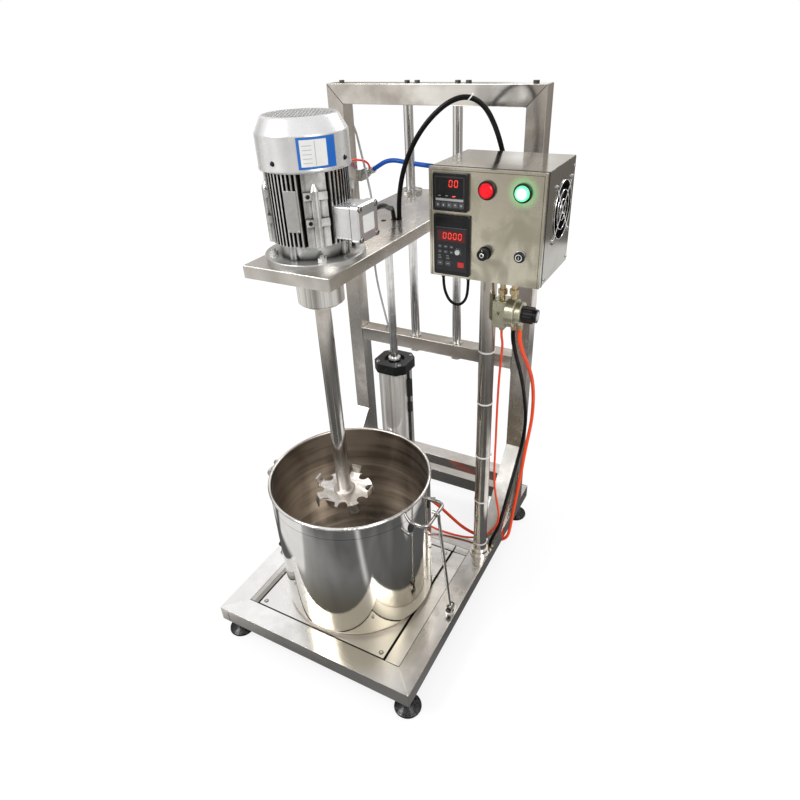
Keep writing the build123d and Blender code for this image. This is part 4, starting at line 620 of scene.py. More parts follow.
def lamp(name, at, target, size, power):
    """A large soft lamp."""
    data = bpy.data.lights.new(name, "AREA")
    data.shape = "DISK"
    data.size = size
    data.energy = power
    piece = bpy.data.objects.new(name, data)
    piece.location = at
    piece.rotation_euler = (Vector(at) - Vector(target)).to_track_quat("Z", "Y").to_euler()
    bpy.context.scene.collection.objects.link(piece)


lamp("key_lamp", (-1.6, -2.2, 3.2), (0.0, 0.0, 0.7), 1.6, 70.0)
lamp("fill_lamp", (2.6, -1.4, 2.6), (0.0, 0.0, 0.7), 1.8, 34.0)
lamp("rim_lamp", (0.6, 2.6, 3.0), (0.0, 0.0, 0.8), 1.6, 34.0)
bpy.context.scene.view_settings.view_transform = "Standard"
print("a floor disc, a wall band and 3 lamps")

# %% [markdown]
# Stainless steel is most of this machine. Satin tube is ground with a belt, so fine scratches run along
# each tube, and the light slides along them. The sheet also isn't quite flat and was wiped by hand, which
# gives soft cloudy patches of tone. A flat grey with one roughness would look like plastic. This finish
# therefore has a stretched grain in the bump, clouds in the tone and the roughness, and fine scratches on
# top. A few pieces need one thing more, and each has its own option: a painted highlight on the base's left
# top with painted shade beside it, painted shade on the box's right side, a dull top, and a painted
# reflection down the shaft where it dips into the pail.

# %% Stainless steel
base_top = (0.1084, 0.1096)


def steel(name, pale, deep, along="z", rough=(0.16, 0.34), grain=0.1, cloud=7.0, scratch=0.5, waves=0.0,
          left=None, right_edge=None, dipped=None, blunt=None):
    """Ground stainless steel with its grain along one axis.

    left is a near-white painted highlight for the base's left top, which also puts painted shade on the top
    towards the front right; right_edge the x of a right side, which with a strip beside it gets painted
    shade;
    blunt the height of a rough, darker top face; and dipped gives the heights where a shaft enters the pail,
    and its axis, for a pale painted reflection band below them.
    """
    f = Finish(name)
    run = [7.0 if axis == along else 900.0 for axis in "xyz"]
    long = [0.35 if axis == along else 1.0 for axis in "xyz"]
    here = f.place()
    lines = f.noise(f.place(run), 1.0, 3.0, 0.6)
    clouds = f.noise(f.place(long), cloud, 3.0, 0.55, 0.6)
    spots = f.noise(here, cloud * 5.0, 3.0, 0.5)
    tone = f.span(clouds + spots * 0.25 - 0.125, 0.32, 0.68)
    wear = f.span(lines, 0.35, 0.75, 0.0, scratch)
    dull = f.bump(spots, 0.04, 0.0008)
    if waves:
        dull = f.bump(f.noise(f.place(long), 11.0, 1.0, 0.5, 0.3), waves, 0.006, dull)
    if left:
        # A near-white painted highlight on the base's left top, and painted shade on the top towards the
        # front right.
        x, y, z = f.axes(here)
        on_top = f.span(z, *base_top)
        share = f.fall(x, -0.26, 0.14) * on_top * f.fall(y, 0.06, 0.22)
        pale = f.mix(share, pale, left)
        deep = f.mix(share, deep, tuple(c * 0.86 for c in left))
        painted_shade_patch = f.span(x, 0.04, 0.14) * f.span(y, -0.14, -0.02) * on_top * 0.8
        pale = f.mix(painted_shade_patch, pale, (0.44, 0.42, 0.39))
        deep = f.mix(painted_shade_patch, deep, (0.34, 0.32, 0.3))
    colour = f.mix(wear * 0.25, f.mix(tone, deep, pale), deep)
    # The right side and the strip beside it are darker: painted shade.
    if right_edge:
        colour = colour * f.span(f.axes(here)[0], right_edge - 0.0015, right_edge - 0.0008, 1.0, 0.66)
    metal, roughness = 1.0, f.span(tone, 0.0, 1.0, rough[1], rough[0]) + wear * 0.08
    if dipped:
        # Below these heights the shaft gets a pale band facing the front, with dark sides: a painted
        # reflection, with less metal and more roughness.
        reflection_full_below, reflection_gone_above, axis_x, axis_y = dipped
        x, y, z = f.about(axis_x, axis_y)
        painted_reflection_share = f.fall(z, reflection_full_below, reflection_gone_above)
        angle = f.maths("ARCTAN2", y, x)
        painted_reflection_tone = f.mix(sector(f, angle, -70.0, 24.0, 26.0), (0.34, 0.3, 0.26), (0.98, 0.93, 0.88))
        metal = f.span(painted_reflection_share, 0.0, 1.0, 1.0, 0.5)
        roughness = roughness + painted_reflection_share * 0.16
        colour = f.mix(painted_reflection_share * 0.8, colour, painted_reflection_tone)
    if blunt:
        z = f.axes(here)[2]
        flat = f.band(z, blunt - 0.0008, blunt - 0.0003, blunt + 0.001, blunt + 0.002)
        roughness = roughness + flat * 0.3
        colour = colour * f.span(flat, 0.0, 1.0, 1.0, 0.8)
    f.set(Base_Color=colour, Metallic=metal, Roughness=roughness, Normal=f.bump(lines, grain, 0.0004, dull))
    return f.material


pale_steel, deep_steel = (0.7, 0.68, 0.65), (0.44, 0.42, 0.39)
# The near-white tone of the painted highlight on the base's left top.
painted_highlight_tone = (0.96, 0.95, 0.94)
steel_x = steel("satin_steel_x", pale_steel, deep_steel, "x", waves=0.12, left=painted_highlight_tone)
steel_y = steel("satin_steel_y", (0.7, 0.67, 0.63), (0.42, 0.39, 0.35), "y", waves=0.12, left=painted_highlight_tone)
bright_steel, bright_deep = (0.8, 0.77, 0.73), (0.46, 0.42, 0.375)
bright_x = steel("polished_steel_x", bright_steel, bright_deep, "x", (0.1, 0.24), 0.04, 7.0,
                 0.3, 0.16, blunt=0.22)
bright_z = steel("polished_steel_z", bright_steel, bright_deep, "z", (0.17, 0.3), 0.05, 7.0, 0.3, 0.12)
shaft_axis = middle_of("mixer_shaft")
post_steel = steel("post_steel", bright_steel, (0.5, 0.46, 0.41), "z", (0.08, 0.22), 0.04)
shaft_steel = steel("shaft_steel", bright_steel, (0.5, 0.46, 0.41), "z", (0.08, 0.22), 0.04,
                    dipped=(0.46, 0.62, shaft_axis.x, shaft_axis.y))
brace_steel = steel("brace_steel", (0.6, 0.585, 0.56), (0.36, 0.35, 0.33), "z", (0.22, 0.36), 0.06, 7.0,
                    0.3, 0.12)
box_side_steel = steel("box_side_steel", (0.66, 0.64, 0.6), (0.54, 0.52, 0.48), "y", (0.09, 0.15), 0.03,
                       5.0, 0.3, right_edge=corners("control_box")[1].x)
disc_steel = steel("disc_steel", (0.76, 0.73, 0.7), (0.44, 0.41, 0.37), "x", (0.22, 0.38), 0.08, 26.0, 0.4)
beam_steel = steel("beam_steel", (0.72, 0.69, 0.655), (0.48, 0.455, 0.42), "y", (0.2, 0.34), 0.08, 4.0)
print("steel finishes are ready")


def drawn_tube(name, node, metal=1.0):
    """A drawn tube whose streaks run up it, light and dark side by side, partly drawing marks and
    partly painted reflection bands.
    """
    f = Finish(name)
    x, y, z = f.about(*middle_of(node)[:2])
    angle = f.maths("ARCTAN2", y, x)
    wound = f.node("ShaderNodeCombineXYZ", None, {0: angle * 2.4, 1: z * 0.5, 2: 0.0})
    streaks = f.noise(wound, 1.0, 4.0, 0.65)
    fine = f.noise(f.place((900.0, 900.0, 5.0)), 1.0, 3.0, 0.6)
    # The streaks in the colour stand partly for drawing marks and partly for the painted reflection bands of
    # a polished tube.
    f.set(Base_Color=f.fade(streaks, 0.38, 0.62, (0.44, 0.42, 0.39), (0.88, 0.86, 0.83)),
          Metallic=metal, Roughness=f.span(streaks, 0.35, 0.65, 0.4, 0.28),
          Normal=f.bump(fine, 0.12, 0.0004))
    return f.material


barrel_steel = drawn_tube("drawn_barrel_steel", "cylinder_barrel", 0.62)
housing_steel = drawn_tube("turned_housing_steel", "bearing_housing")


def gap_steel(name, edges, band=None):
    """Tray steel, nearly black in the gaps and along the tray's edges as painted shade, with a band of
    painted shade beside the tray if asked, and otherwise paler towards the left as a painted highlight.
    """
    f = Finish(name)
    here = f.place()
    x, y, z = f.axes(here)
    clouds = f.noise(f.place((0.6, 1.0, 1.0)), 8.0, 3.0, 0.55, 0.4)
    lines = f.noise(f.place((7.0, 900.0, 900.0)), 1.0, 3.0, 0.6)
    # Below the tray's level and along the tray's edges the steel goes nearly black: painted shade in the
    # gaps.
    dust_and_gap_shade = f.fall(z, 0.1076, 0.1086)
    for wire, place in [(x, value) for value in edges[0]] + [(y, value) for value in edges[1]]:
        away = f.maths("ABSOLUTE", wire - place)
        dust_and_gap_shade = dust_and_gap_shade + f.fall(away, 0.0012, 0.0026)
    pale = f.fade(clouds, 0.35, 0.65, (0.52, 0.5, 0.47), (0.76, 0.74, 0.71))
    if band:
        # A band beside the tray is darker: painted shade along the border.
        painted_border_shade = f.band(x, band - 0.014, band - 0.013, band - 0.001, band)
        pale = f.mix(painted_border_shade, pale, f.fade(clouds, 0.35, 0.65, (0.3, 0.28, 0.26), (0.46, 0.44, 0.41)))
    else:
        # The tray's left part is paler, towards near white: a painted highlight.
        pale = f.fade(x, -0.2, 0.1, f.mix(0.65, pale, (0.97, 0.96, 0.95)), pale)
    f.set(Base_Color=f.fade(dust_and_gap_shade, 0.0, 0.9, pale, (0.02, 0.02, 0.018)), Metallic=1.0,
          Roughness=f.span(clouds, 0.3, 0.7, 0.2, 0.36), Normal=f.bump(lines, 0.1, 0.0004))
    return f.material


tray_low, tray_high = corners("pail_tray")
tray_edges = ((tray_low.x, tray_high.x), (tray_low.y, tray_high.y))
tray_steel = gap_steel("tray_steel", tray_edges)
border_steel = gap_steel("tray_border_steel", ((tray_low.x - 0.002, tray_high.x + 0.002),
                                               (tray_low.y - 0.002, tray_high.y + 0.002)), tray_low.x - 0.002)

# %% Chrome, zinc and turned steel
def plated(name, colour, rough, spots=0.3):
    """Smooth plating with faint handling marks."""
    f = Finish(name)
    here = f.place()
    marks = f.noise(here, 60.0, 4.0, 0.6)
    f.set(Base_Color=f.mix(f.span(marks, 0.4, 0.75, 0.0, spots), colour, tuple(c * 0.72 for c in colour)),
          Metallic=1.0, Roughness=f.span(marks, 0.3, 0.7, rough, rough + 0.12),
          Normal=f.bump(f.noise(here, 300.0, 2.0), 0.05, 0.0003))
    return f.material


chrome = plated("bright_chrome", (0.78, 0.78, 0.78), 0.06, 0.15)
dull_chrome = plated("worn_chrome", (0.46, 0.45, 0.43), 0.12, 0.4)
zinc = plated("zinc_plate", (0.6, 0.6, 0.58), 0.22, 0.5)
ground_steel = plated("ground_bearing_steel", (0.58, 0.57, 0.55), 0.18, 0.4)
brass = plated("nickel_brass", (0.62, 0.5, 0.3), 0.24, 0.5)


def fastener_finish():
    """Zinc screws below, blackened ones on top of the frame."""
    f = Finish("frame_screws")
    x, y, z = f.axes(f.place())
    marks = f.noise(f.place(), 90.0, 3.0)
    f.set(Base_Color=f.fade(z, 1.3, 1.31, f.fade(marks, 0.4, 0.7, (0.62, 0.62, 0.6),
                                                       (0.42, 0.42, 0.4)), (0.13, 0.125, 0.12)),
          Metallic=1.0, Roughness=f.span(marks, 0.3, 0.7, 0.22, 0.36), Normal=f.bump(marks, 0.05, 0.0003))
    return f.material


print("platings are ready")

# %% Paint, castings and plastics
def paint(name, colour, deep, metal, rough, peel=0.1, size=220.0, coat=0.0, painted_corner_shade=0.0, shine=0.5):
    """Paint, cast metal or plastic: a tone that drifts, a fine texture and, if asked, painted shade
    in the corners.
    """
    f = Finish(name)
    here = f.place()
    drift = f.noise(here, 18.0, 3.0, 0.55)
    skin = f.noise(here, size, 2.0, 0.5)
    tone = f.fade(drift, 0.35, 0.7, colour, deep)
    # The occlusion node darkens tight corners towards black: painted shade.
    if painted_corner_shade:
        corner = f.node("ShaderNodeAmbientOcclusion", {"samples": 6, "only_local": True},
                        {"Distance": 0.016}, out=1)
        tone = f.mix(f.span(corner, 0.4, 0.95, painted_corner_shade, 0.0), tone, tuple(c * 0.12 for c in deep))
    f.set(Base_Color=tone, Metallic=metal,
          Roughness=f.span(drift, 0.3, 0.7, rough, rough + 0.1),
          Coat_Weight=coat, Coat_Roughness=0.12, Specular_IOR_Level=shine,
          Normal=f.bump(skin, peel, 0.0005))
    return f.material


silver_paint = paint("silver_motor_paint", (0.54, 0.54, 0.53), (0.38, 0.38, 0.37), 0.85, 0.26,
                     painted_corner_shade=0.95)
box_paint = paint("terminal_box_paint", (0.72, 0.72, 0.72), (0.62, 0.62, 0.62), 0.75, 0.24, 0.06)
dark_iron = paint("dark_cast_iron", (0.1, 0.1, 0.1), (0.16, 0.15, 0.14), 0.6, 0.5, 0.3)
# Black anodised end caps; the same finish paints the shade plates at the pail's handles.
black_anodised_and_shade = paint("black_anodised_and_shade", (0.014, 0.014, 0.015), (0.022, 0.022, 0.022), 0.4, 0.16, 0.06, 500.0)
black_plastic = paint("black_moulded_plastic", (0.007, 0.007, 0.008), (0.012, 0.012, 0.013), 0.0, 0.26,
                      0.08, 700.0, shine=0.3)
fan_black = paint("glossy_fan_blades", (0.03, 0.03, 0.032), (0.015, 0.015, 0.016), 0.3, 0.12, 0.03, 300.0,
                  shine=0.8)
# The motor fan is black, and it is made nearly black without any sheen as painted shade under its cover.
black_fan_in_shade = paint("dull_black_fan", (0.003, 0.003, 0.003), (0.005, 0.005, 0.005), 0.0, 0.9, 0.1, shine=0.0)
silver_plastic = paint("silver_plastic", (0.62, 0.62, 0.63), (0.55, 0.55, 0.56), 0.2, 0.3, 0.05, 500.0)
zinc_casting = paint("zinc_casting", (0.56, 0.54, 0.41), (0.38, 0.36, 0.26), 0.85, 0.26, 0.25, 260.0)
print("paints and plastics are ready")

# %% Feet and hold-down brackets
def feet_finish():
    """Black ribbed domes below, zinc stems and nuts above; the four feet mirror one another."""
    f = Finish("levelling_feet_finish")
    feet_low, feet_high = corners("levelling_feet")
    x, y, z = f.about(*middle_of("levelling_feet")[:2])
    foot_radius = 0.035
    one_x = f.maths("ABSOLUTE", x) - ((feet_high.x - feet_low.x) / 2 - foot_radius)
    one_y = f.maths("ABSOLUTE", y) - ((feet_high.y - feet_low.y) / 2 - foot_radius)
    angle = f.maths("ARCTAN2", one_y, one_x)
    ribs = f.maths("SINE", angle * 22.0)
    away = reach(one_x, one_y)
    on_slope = f.band(away, 0.015, 0.018, 0.03, 0.032)
    metal = f.span(z, 0.0222, 0.0226)
    marks = f.noise(f.place(), 120.0, 3.0)
    dirt = f.fade(marks, 0.45, 0.75, (0.008, 0.008, 0.008), (0.045, 0.043, 0.04))
    f.set(Base_Color=f.mix(metal, dirt, f.fade(marks, 0.35, 0.7, (0.66, 0.66, 0.64),
                                              (0.46, 0.46, 0.44))), Metallic=metal,
          Roughness=f.span(marks, 0.3, 0.7, 0.16, 0.34), Specular_IOR_Level=0.45,
          Normal=f.bump(f.span(ribs, -0.3, 0.3) * on_slope, 0.8, 0.0016))
    return f.material


def bracket_finish():
    """Zinc ears with blackened pin heads."""
    f = Finish("bracket_finish")
    pin_y = -0.1637
    x, y, z = f.about(0.0, pin_y)
    aside = f.maths("ABSOLUTE", y)
    marks = f.noise(f.place(), 110.0, 3.0)
    ears = f.fade(marks, 0.35, 0.7, (0.44, 0.43, 0.41), (0.26, 0.25, 0.24))
    f.set(Base_Color=f.fade(aside, 0.0094, 0.0099, ears, (0.015, 0.015, 0.015)), Metallic=1.0,
          Roughness=f.span(marks, 0.3, 0.7, 0.2, 0.36), Normal=f.bump(marks, 0.06, 0.0004))
    return f.material


# %% [markdown]
# The motor's body is an aluminium casting with deep grooves between its fins. The grooves lie in shade, so
# they look nearly black between bright fins. The finish paints that shade: it measures the distance from the
# motor's axis and darkens everything near the core and in tight corners, which a light alone can't do in
# such a bright studio.

# %% Finned body
def fin_paint():
    """Silver paint with painted shade towards the roots of the fins."""
    f = Finish("finned_body_paint")
    x, y, z = f.about(*motor_axis[:2])
    from_axis = reach(x, y)
    drift = f.noise(f.place(), 24.0, 3.0, 0.6)
    corner = f.node("ShaderNodeAmbientOcclusion", {"samples": 6, "only_local": True}, {"Distance": 0.014},
                    out=1)
    # Near the core and in tight corners the colour goes nearly black: painted shade.
    root = f.span(from_axis + drift * 0.002, 0.0765, 0.08) * f.span(corner, 0.45, 0.92)
    pale = f.fade(drift, 0.35, 0.7, (0.76, 0.76, 0.75), (0.52, 0.52, 0.51))
    f.set(Base_Color=f.mix(root, (0.025, 0.024, 0.021), pale), Metallic=0.9,
          Roughness=f.span(root, 0.0, 1.0, 0.55, 0.26), Normal=f.bump(f.noise(f.place(), 260.0), 0.12,
                                                                      0.0005))
    return f.material


body_paint = fin_paint()

# %% [markdown]
# The pail is the brightest piece: its outside is polished like a mirror, and its inside was turned against
# a brush, which leaves fine rings; the warm brown tone inside is a painted reflection. One finish does both.
# It measures how far a point is from the pail's axis and mixes the two from that, so no second mesh is
# needed.

# %% Pail finish
pail_low, pail_high = corners("pail")
pail_axis = middle_of("pail")
pail_radius = (pail_high.x - pail_low.x) / 2


def pail_finish():
    """Mirror outside with a painted tan reflection low on the right; brushed rings inside in a warm brown of
    painted reflection, with painted shade and light; a stamped step in the floor with painted shade and
    painted highlights.
    """
    f = Finish("pail_steel")
    x, y, z = f.about(*pail_axis[:2])
    from_axis = reach(x, y)
    outside = f.span(from_axis, 0.2024, 0.2032)
    rings = f.noise(f.node("ShaderNodeCombineXYZ", None, {0: from_axis * 700.0, 1: z * 260.0, 2: 0.0}), 1.0,
                    4.0, 0.65)
    wipes = f.noise(f.place((2.2, 2.2, 30.0)), 1.0, 4.0, 0.6, 0.4)
    clouds = f.noise(f.place((1.0, 1.0, 0.5)), 6.0, 3.0, 0.55, 0.5)
    on_floor = f.fall(z, 0.116, 0.126)
    step = f.band(from_axis, 0.126, 0.13, 0.15, 0.156)
    tone = f.span(clouds * 0.5 + wipes * 0.5, 0.4, 0.6)
    # Inside, the warm brown is a painted reflection.
    inner = f.mix(tone, (0.36, 0.325, 0.29), (0.84, 0.79, 0.73))
    # Inside, the colour is darker towards the bottom and lighter towards the right: painted shade and painted
    # light.
    inner = inner * f.span(z, 0.14, 0.34, 0.52, 1.0) * f.span(x, -0.06, 0.17, 0.86, 1.35)
    inner = f.mix(on_floor, inner, (0.6, 0.53, 0.46))
    # The stamped step in the floor gets painted shade.
    inner = f.mix(on_floor * step * 0.6, inner, (0.26, 0.225, 0.19))
    # Its two edges get near-white rings: painted highlights.
    grooves = f.band(from_axis, 0.1255, 0.1262, 0.1275, 0.1282)
    grooves = grooves + f.band(from_axis, 0.154, 0.1547, 0.156, 0.1567)
    inner = f.mix(on_floor * grooves, inner, (1.0, 0.94, 0.86))
    outer = f.fade(clouds, 0.35, 0.7, (0.68, 0.67, 0.65), (0.84, 0.83, 0.82))
    # Low on the outside, towards the right, the mirror is tinted tan: a painted reflection.
    outer = f.mix(f.span(z, 0.2, 0.36, 0.9, 0.0) * f.span(x, -0.13, 0.02), outer, (0.4, 0.36, 0.27))
    seam = f.band(z, 0.4535, 0.4541, 0.4547, 0.4553)
    outer = f.mix(seam * 0.8, outer, (0.1, 0.09, 0.08))
    f.set(Base_Color=f.mix(outside, inner, outer), Metallic=1.0,
          Roughness=f.span(outside, 0.0, 1.0, 0.27, 0.045) + f.span(clouds, 0.3, 0.7, 0.0, 0.04),
          Normal=f.bump(rings, 0.1, 0.0004, f.bump(wipes * (1.0 - outside), 0.25, 0.002)))
    return f.material


pail_steel = pail_finish()
print("pail radius", round(pail_radius, 4))

# %% [markdown]
# The imported nodes keep their own shapes where these are right. Real sheet and castings have no razor-sharp
# edges, so a node given an edge size gets a weld, a small bevel and smooth shading as modifiers, which don't
# touch its mesh, and every node gets the finish it is given.

# %% Dress the imported nodes
def dress(names, finish, edge=0.0):
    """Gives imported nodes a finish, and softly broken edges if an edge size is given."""
    for name in names.split():
        node = frame["nodes"][name]
        if not node.material_slots:
            node.data.materials.append(finish)
        for held in node.material_slots:
            held.material = finish
        if edge:
            weld = node.modifiers.new("weld", "WELD")
            weld.merge_threshold = 0.00002
            soft_edge = node.modifiers.new("broken_edges", "BEVEL")
            soft_edge.width = edge
            soft_edge.segments = 2
            soft_edge.limit_method = "ANGLE"
            soft_edge.angle_limit = radians(40)
            soft_edge.use_clamp_overlap = True
            even = node.modifiers.new("even_shading", "WEIGHTED_NORMAL")
            even.keep_sharp = False


dress("base_side_rails", steel_y, 0.0012)
dress("base_cross_rails", steel_x, 0.0008)
dress("tray_frame", border_steel, 0.0005)
dress("pail_tray", tray_steel, 0.0005)
dress("lift_beam", beam_steel, 0.0006)
dress("bearing_housing", housing_steel)
dress("control_box", box_side_steel, 0.0008)
dress("uprights", bright_z, 0.0012)
dress("braces", brace_steel, 0.0012)
dress("top_crossbar middle_crossbars", bright_x, 0.0012)
dress("control_pole", post_steel)
dress("mixer_shaft", shaft_steel)
dress("cylinder_barrel", barrel_steel)
dress("dispersing_disc disc_nut", disc_steel, 0.0003)
dress("pail_handles", dull_chrome, 0.0003)
dress("pail", pail_steel)
dress("guide_rods piston_rod fan_guard key_switch", chrome)
dress("frame_fasteners", fastener_finish(), 0.0004)
dress("flange_bolts", zinc, 0.0004)
dress("clamp_brackets", bracket_finish(), 0.0004)
dress("clamp_rod_left clamp_rod_right", dull_chrome)
dress("guide_bushings", ground_steel, 0.0004)
dress("motor_stator", body_paint, 0.0004)
dress("motor_flange fan_cover", silver_paint, 0.0005)
dress("junction_box", box_paint, 0.0005)
dress("motor_rotor", dark_iron)
dress("cylinder_head cylinder_foot", black_anodised_and_shade, 0.0012)
dress("levelling_feet", feet_finish(), 0.0006)
dress("speed_meter drive_panel button_bezels speed_knob fan_housing", black_plastic, 0.0006)
dress("valve_knob", black_plastic, 0.0003)
dress("motor_fan", black_fan_in_shade)
dress("fan_rotor", fan_black, 0.0003)
dress("drive_knob", silver_plastic, 0.0002)
dress("hand_valve", zinc_casting, 0.0005)
dress("valve_fittings", brass, 0.0003)
dress("air_coupler", zinc, 0.0003)
print("nodes dressed")

# %% [markdown]
# The small things that make a machine look real are mostly turned, cut from plate or bent from wire. One
# collector gathers such shapes in a single mesh, so that four screws are one object with one finish. It
# knows four moves: spin an outline round an axis, spin a closed one into a ring, push a flat outline
# through a thickness, and sweep a circle along a line. Every outline here has its edges broken, because
# sharp corners look drawn.

# %% Shapes
class Shape:
    """Collects turned, pushed and swept forms in one mesh."""

    def __init__(self):
        self.verts = []
        self.faces = []

    def frame_of(self, at, along):
        """Three directions with the last one along the given line."""
        along = Vector(along).normalized()
        across = Vector((0.0, 0.0, 1.0)) if abs(along.z) < 0.9 else Vector((1.0, 0.0, 0.0))
        side = across.cross(along).normalized()
        return Vector(at), side, along.cross(side), along

    def rings(self, outline, at, along, steps):
        """Adds one ring of points for each (radius, height) pair, and gives the number of the first point."""
        at, side, other, along = self.frame_of(at, along)
        first = len(self.verts)
        for radius, height in outline:
            self.verts += [at + radius * (u * side + w * other) + height * along for u, w in circle(steps)]
        return first

    def skin(self, first, rows, count):
        """Adds the faces between neighbouring rows of points."""
        for row in range(rows - 1):
            for k in range(count):
                a, b = first + row * count + k, first + row * count + (k + 1) % count
                self.faces.append((a, b, b + count, a + count))

    def close(self, first, count, back=False):
        """Closes one row of points with a flat face."""
        row = range(first, first + count)
        self.faces.append(tuple(reversed(row)) if back else tuple(row))

    def spin(self, outline, at, along=(0, 0, 1), steps=32):
        """Spins (radius, height) pairs round a line; the first and last pair may lie on it."""
        first = self.rings(outline, at, along, steps)
        self.skin(first, len(outline), steps)
        if outline[0][0] > 0:
            self.close(first, steps, back=True)
        if outline[-1][0] > 0:
            self.close(len(self.verts) - steps, steps)
        return self

    def hoop(self, outline, at, along=(0, 0, 1), steps=48):
        """Spins a closed outline, for a ring."""
        first = self.rings(outline, at, along, steps)
        self.skin(first, len(outline), steps)
        last = len(self.verts) - steps
        for k in range(steps):
            self.faces.append((last + k, last + (k + 1) % steps, first + (k + 1) % steps, first + k))
        return self

    def push(self, outline, thickness, edge=0.0):
        """Pushes a flat outline of points by a vector, with its far edge broken by a small slope."""
        outline = [Vector(p) for p in outline]
        thickness = Vector(thickness)
        centre = sum(outline, Vector()) / len(outline)
        size = max((p - centre).length for p in outline)
        near = thickness.normalized() * (thickness.length - edge)
        rows = [outline, [p + near for p in outline],
                [p + thickness + (centre - p) * (edge / size if edge else 0.0) for p in outline]]
        if not edge:
            rows.pop(1)
        first, count = len(self.verts), len(outline)
        for row in rows:
            self.verts += row
        self.skin(first, len(rows), count)
        self.close(first, count, back=True)
        self.close(len(self.verts) - count, count)
        return self

    def sweep(self, points, radius, sides=12):
        verts, faces = swept([Vector(p) for p in points], radius, sides)
        first = len(self.verts)
        self.verts += verts
        self.faces += [tuple(first + v for v in face) for face in faces]
        return self

    def piece(self, name, finish, slot, body="frame", flat=32, soft=0.0, stands_for=()):
        """Makes the object, turns its faces outward, and lets it ride on a body."""
        made = from_lists(name, self.verts, self.faces, finish)
        shape = bmesh.new()
        shape.from_mesh(made.data)
        bmesh.ops.recalc_face_normals(shape, faces=shape.faces[:])
        shape.to_mesh(made.data)
        shape.free()
        made.data.set_sharp_from_angle(angle=radians(flat))
        if soft:
            rounded = made.modifiers.new("broken_edges", "BEVEL")
            rounded.width, rounded.segments = soft, 2
            rounded.angle_limit = radians(40)
        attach(made, body)
        if stands_for:
            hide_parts(*stands_for)
        print(name, len(made.data.polygons), "faces on", body)


def ring_of(count, radius, at, start=0.0):
    """Places evenly round an upright axis."""
    return [Vector((at[0] + radius * cos(radians(start) + 2 * pi * k / count),
                    at[1] + radius * sin(radians(start) + 2 * pi * k / count), at[2])) for k in range(count)]


def rectangle(a, b, c, d, corner=0.0, steps=4):
    """A flat rectangle from four corners in order, with round corners if asked."""
    points = [Vector(p) for p in (a, b, c, d)]
    if not corner:
        return points
    rounded = []
    for before, at, after in zip(points[-1:] + points[:-1], points, points[1:] + points[:1]):
        back, on = (before - at).normalized(), (after - at).normalized()
        for k in range(steps + 1):
            t = pi / 2 * k / steps
            rounded.append(at + corner * ((1 - sin(t)) * back + (1 - cos(t)) * on))
    return rounded


print("shape collector is ready")

# %% [markdown]
# The fan cover of the motor is a pressed steel cap: a straight band, a sloping shoulder and a flat top
# full of small round holes in a staggered pattern, over the fan. The holes could be painted on, but from
# above one looks through them, so they are real: every hole is one ring in a flat net of triangles, and a
# solidify modifier then gives the top its thickness.

# %% Fan cover
cover_top = motor_high.z + 0.004
waist_radius = (motor_high.x - motor_low.x) / 2
skirt_low = motor_low.z
hole_pitch, hole_radius, grille_radius = 0.0074, 0.0026, 0.062


def grille_holes():
    """Centres of the staggered holes in the cover's top."""
    centres = []
    rows = ceil(grille_radius / hole_pitch / 0.866)
    for row in range(-rows, rows + 1):
        for column in range(-rows - 2, rows + 3):
            x = (column + (row % 2) / 2) * hole_pitch
            y = row * hole_pitch * 0.866
            if hypot(x, y) < grille_radius - hole_radius:
                centres.append((x, y))
    return centres


def cover_shell(name, finish):
    """The cap with its perforated top, as one open sheet with a thickness."""
    shape = bmesh.new()
    steps = 96
    outline = [(waist_radius - 0.0007, skirt_low), (waist_radius - 0.0003, skirt_low + 0.004),
               (waist_radius - 0.001, skirt_low + 0.0055), (waist_radius - 0.001, 1.296),
               (waist_radius - 0.0013, 1.2976), (waist_radius - 0.0028, 1.2998),
               (0.0715, cover_top - 0.0035), (0.0696, cover_top - 0.0012), (0.0668, cover_top - 0.0001)]
    rings = []
    for radius, height in outline:
        rings.append([shape.verts.new((motor_axis.x + radius * u, motor_axis.y + radius * w, height))
                      for u, w in circle(steps)])
    for low, high in zip(rings, rings[1:]):
        for k in range(steps):
            shape.faces.new((low[k], low[(k + 1) % steps], high[(k + 1) % steps], high[k]))
    edges = [shape.edges.get((rings[-1][k], rings[-1][(k + 1) % steps])) for k in range(steps)]
    for x, y in grille_holes():
        hole = [shape.verts.new((motor_axis.x + x + hole_radius * u, motor_axis.y + y + hole_radius * w,
                                 cover_top - 0.0001)) for u, w in circle(10)]
        edges += [shape.edges.new((hole[k], hole[(k + 1) % 10])) for k in range(10)]
    bmesh.ops.triangle_fill(shape, edges=edges, use_beauty=True, use_dissolve=False, normal=(0, 0, 1))
    for face in shape.faces:
        face.smooth = True
    mesh = bpy.data.meshes.new(name)
    bmesh.ops.recalc_face_normals(shape, faces=shape.faces[:])
    top_faces = [face for face in shape.faces if face.calc_center_median().z > cover_top - 0.0008]
    if sum(face.normal.z for face in top_faces) < 0:
        bmesh.ops.reverse_faces(shape, faces=shape.faces[:])
    shape.to_mesh(mesh)
    shape.free()
    mesh.set_sharp_from_angle(angle=radians(35))
    mesh.materials.append(finish)
    made = bpy.data.objects.new(name, mesh)
    bpy.context.scene.collection.objects.link(made)
    sheet = made.modifiers.new("sheet", "SOLIDIFY")
    sheet.thickness, sheet.offset = 0.0007, -1.0
    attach(made, "carriage")
    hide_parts("fan_cover")
    print(name, len(mesh.polygons), "faces,", len(grille_holes()), "holes")


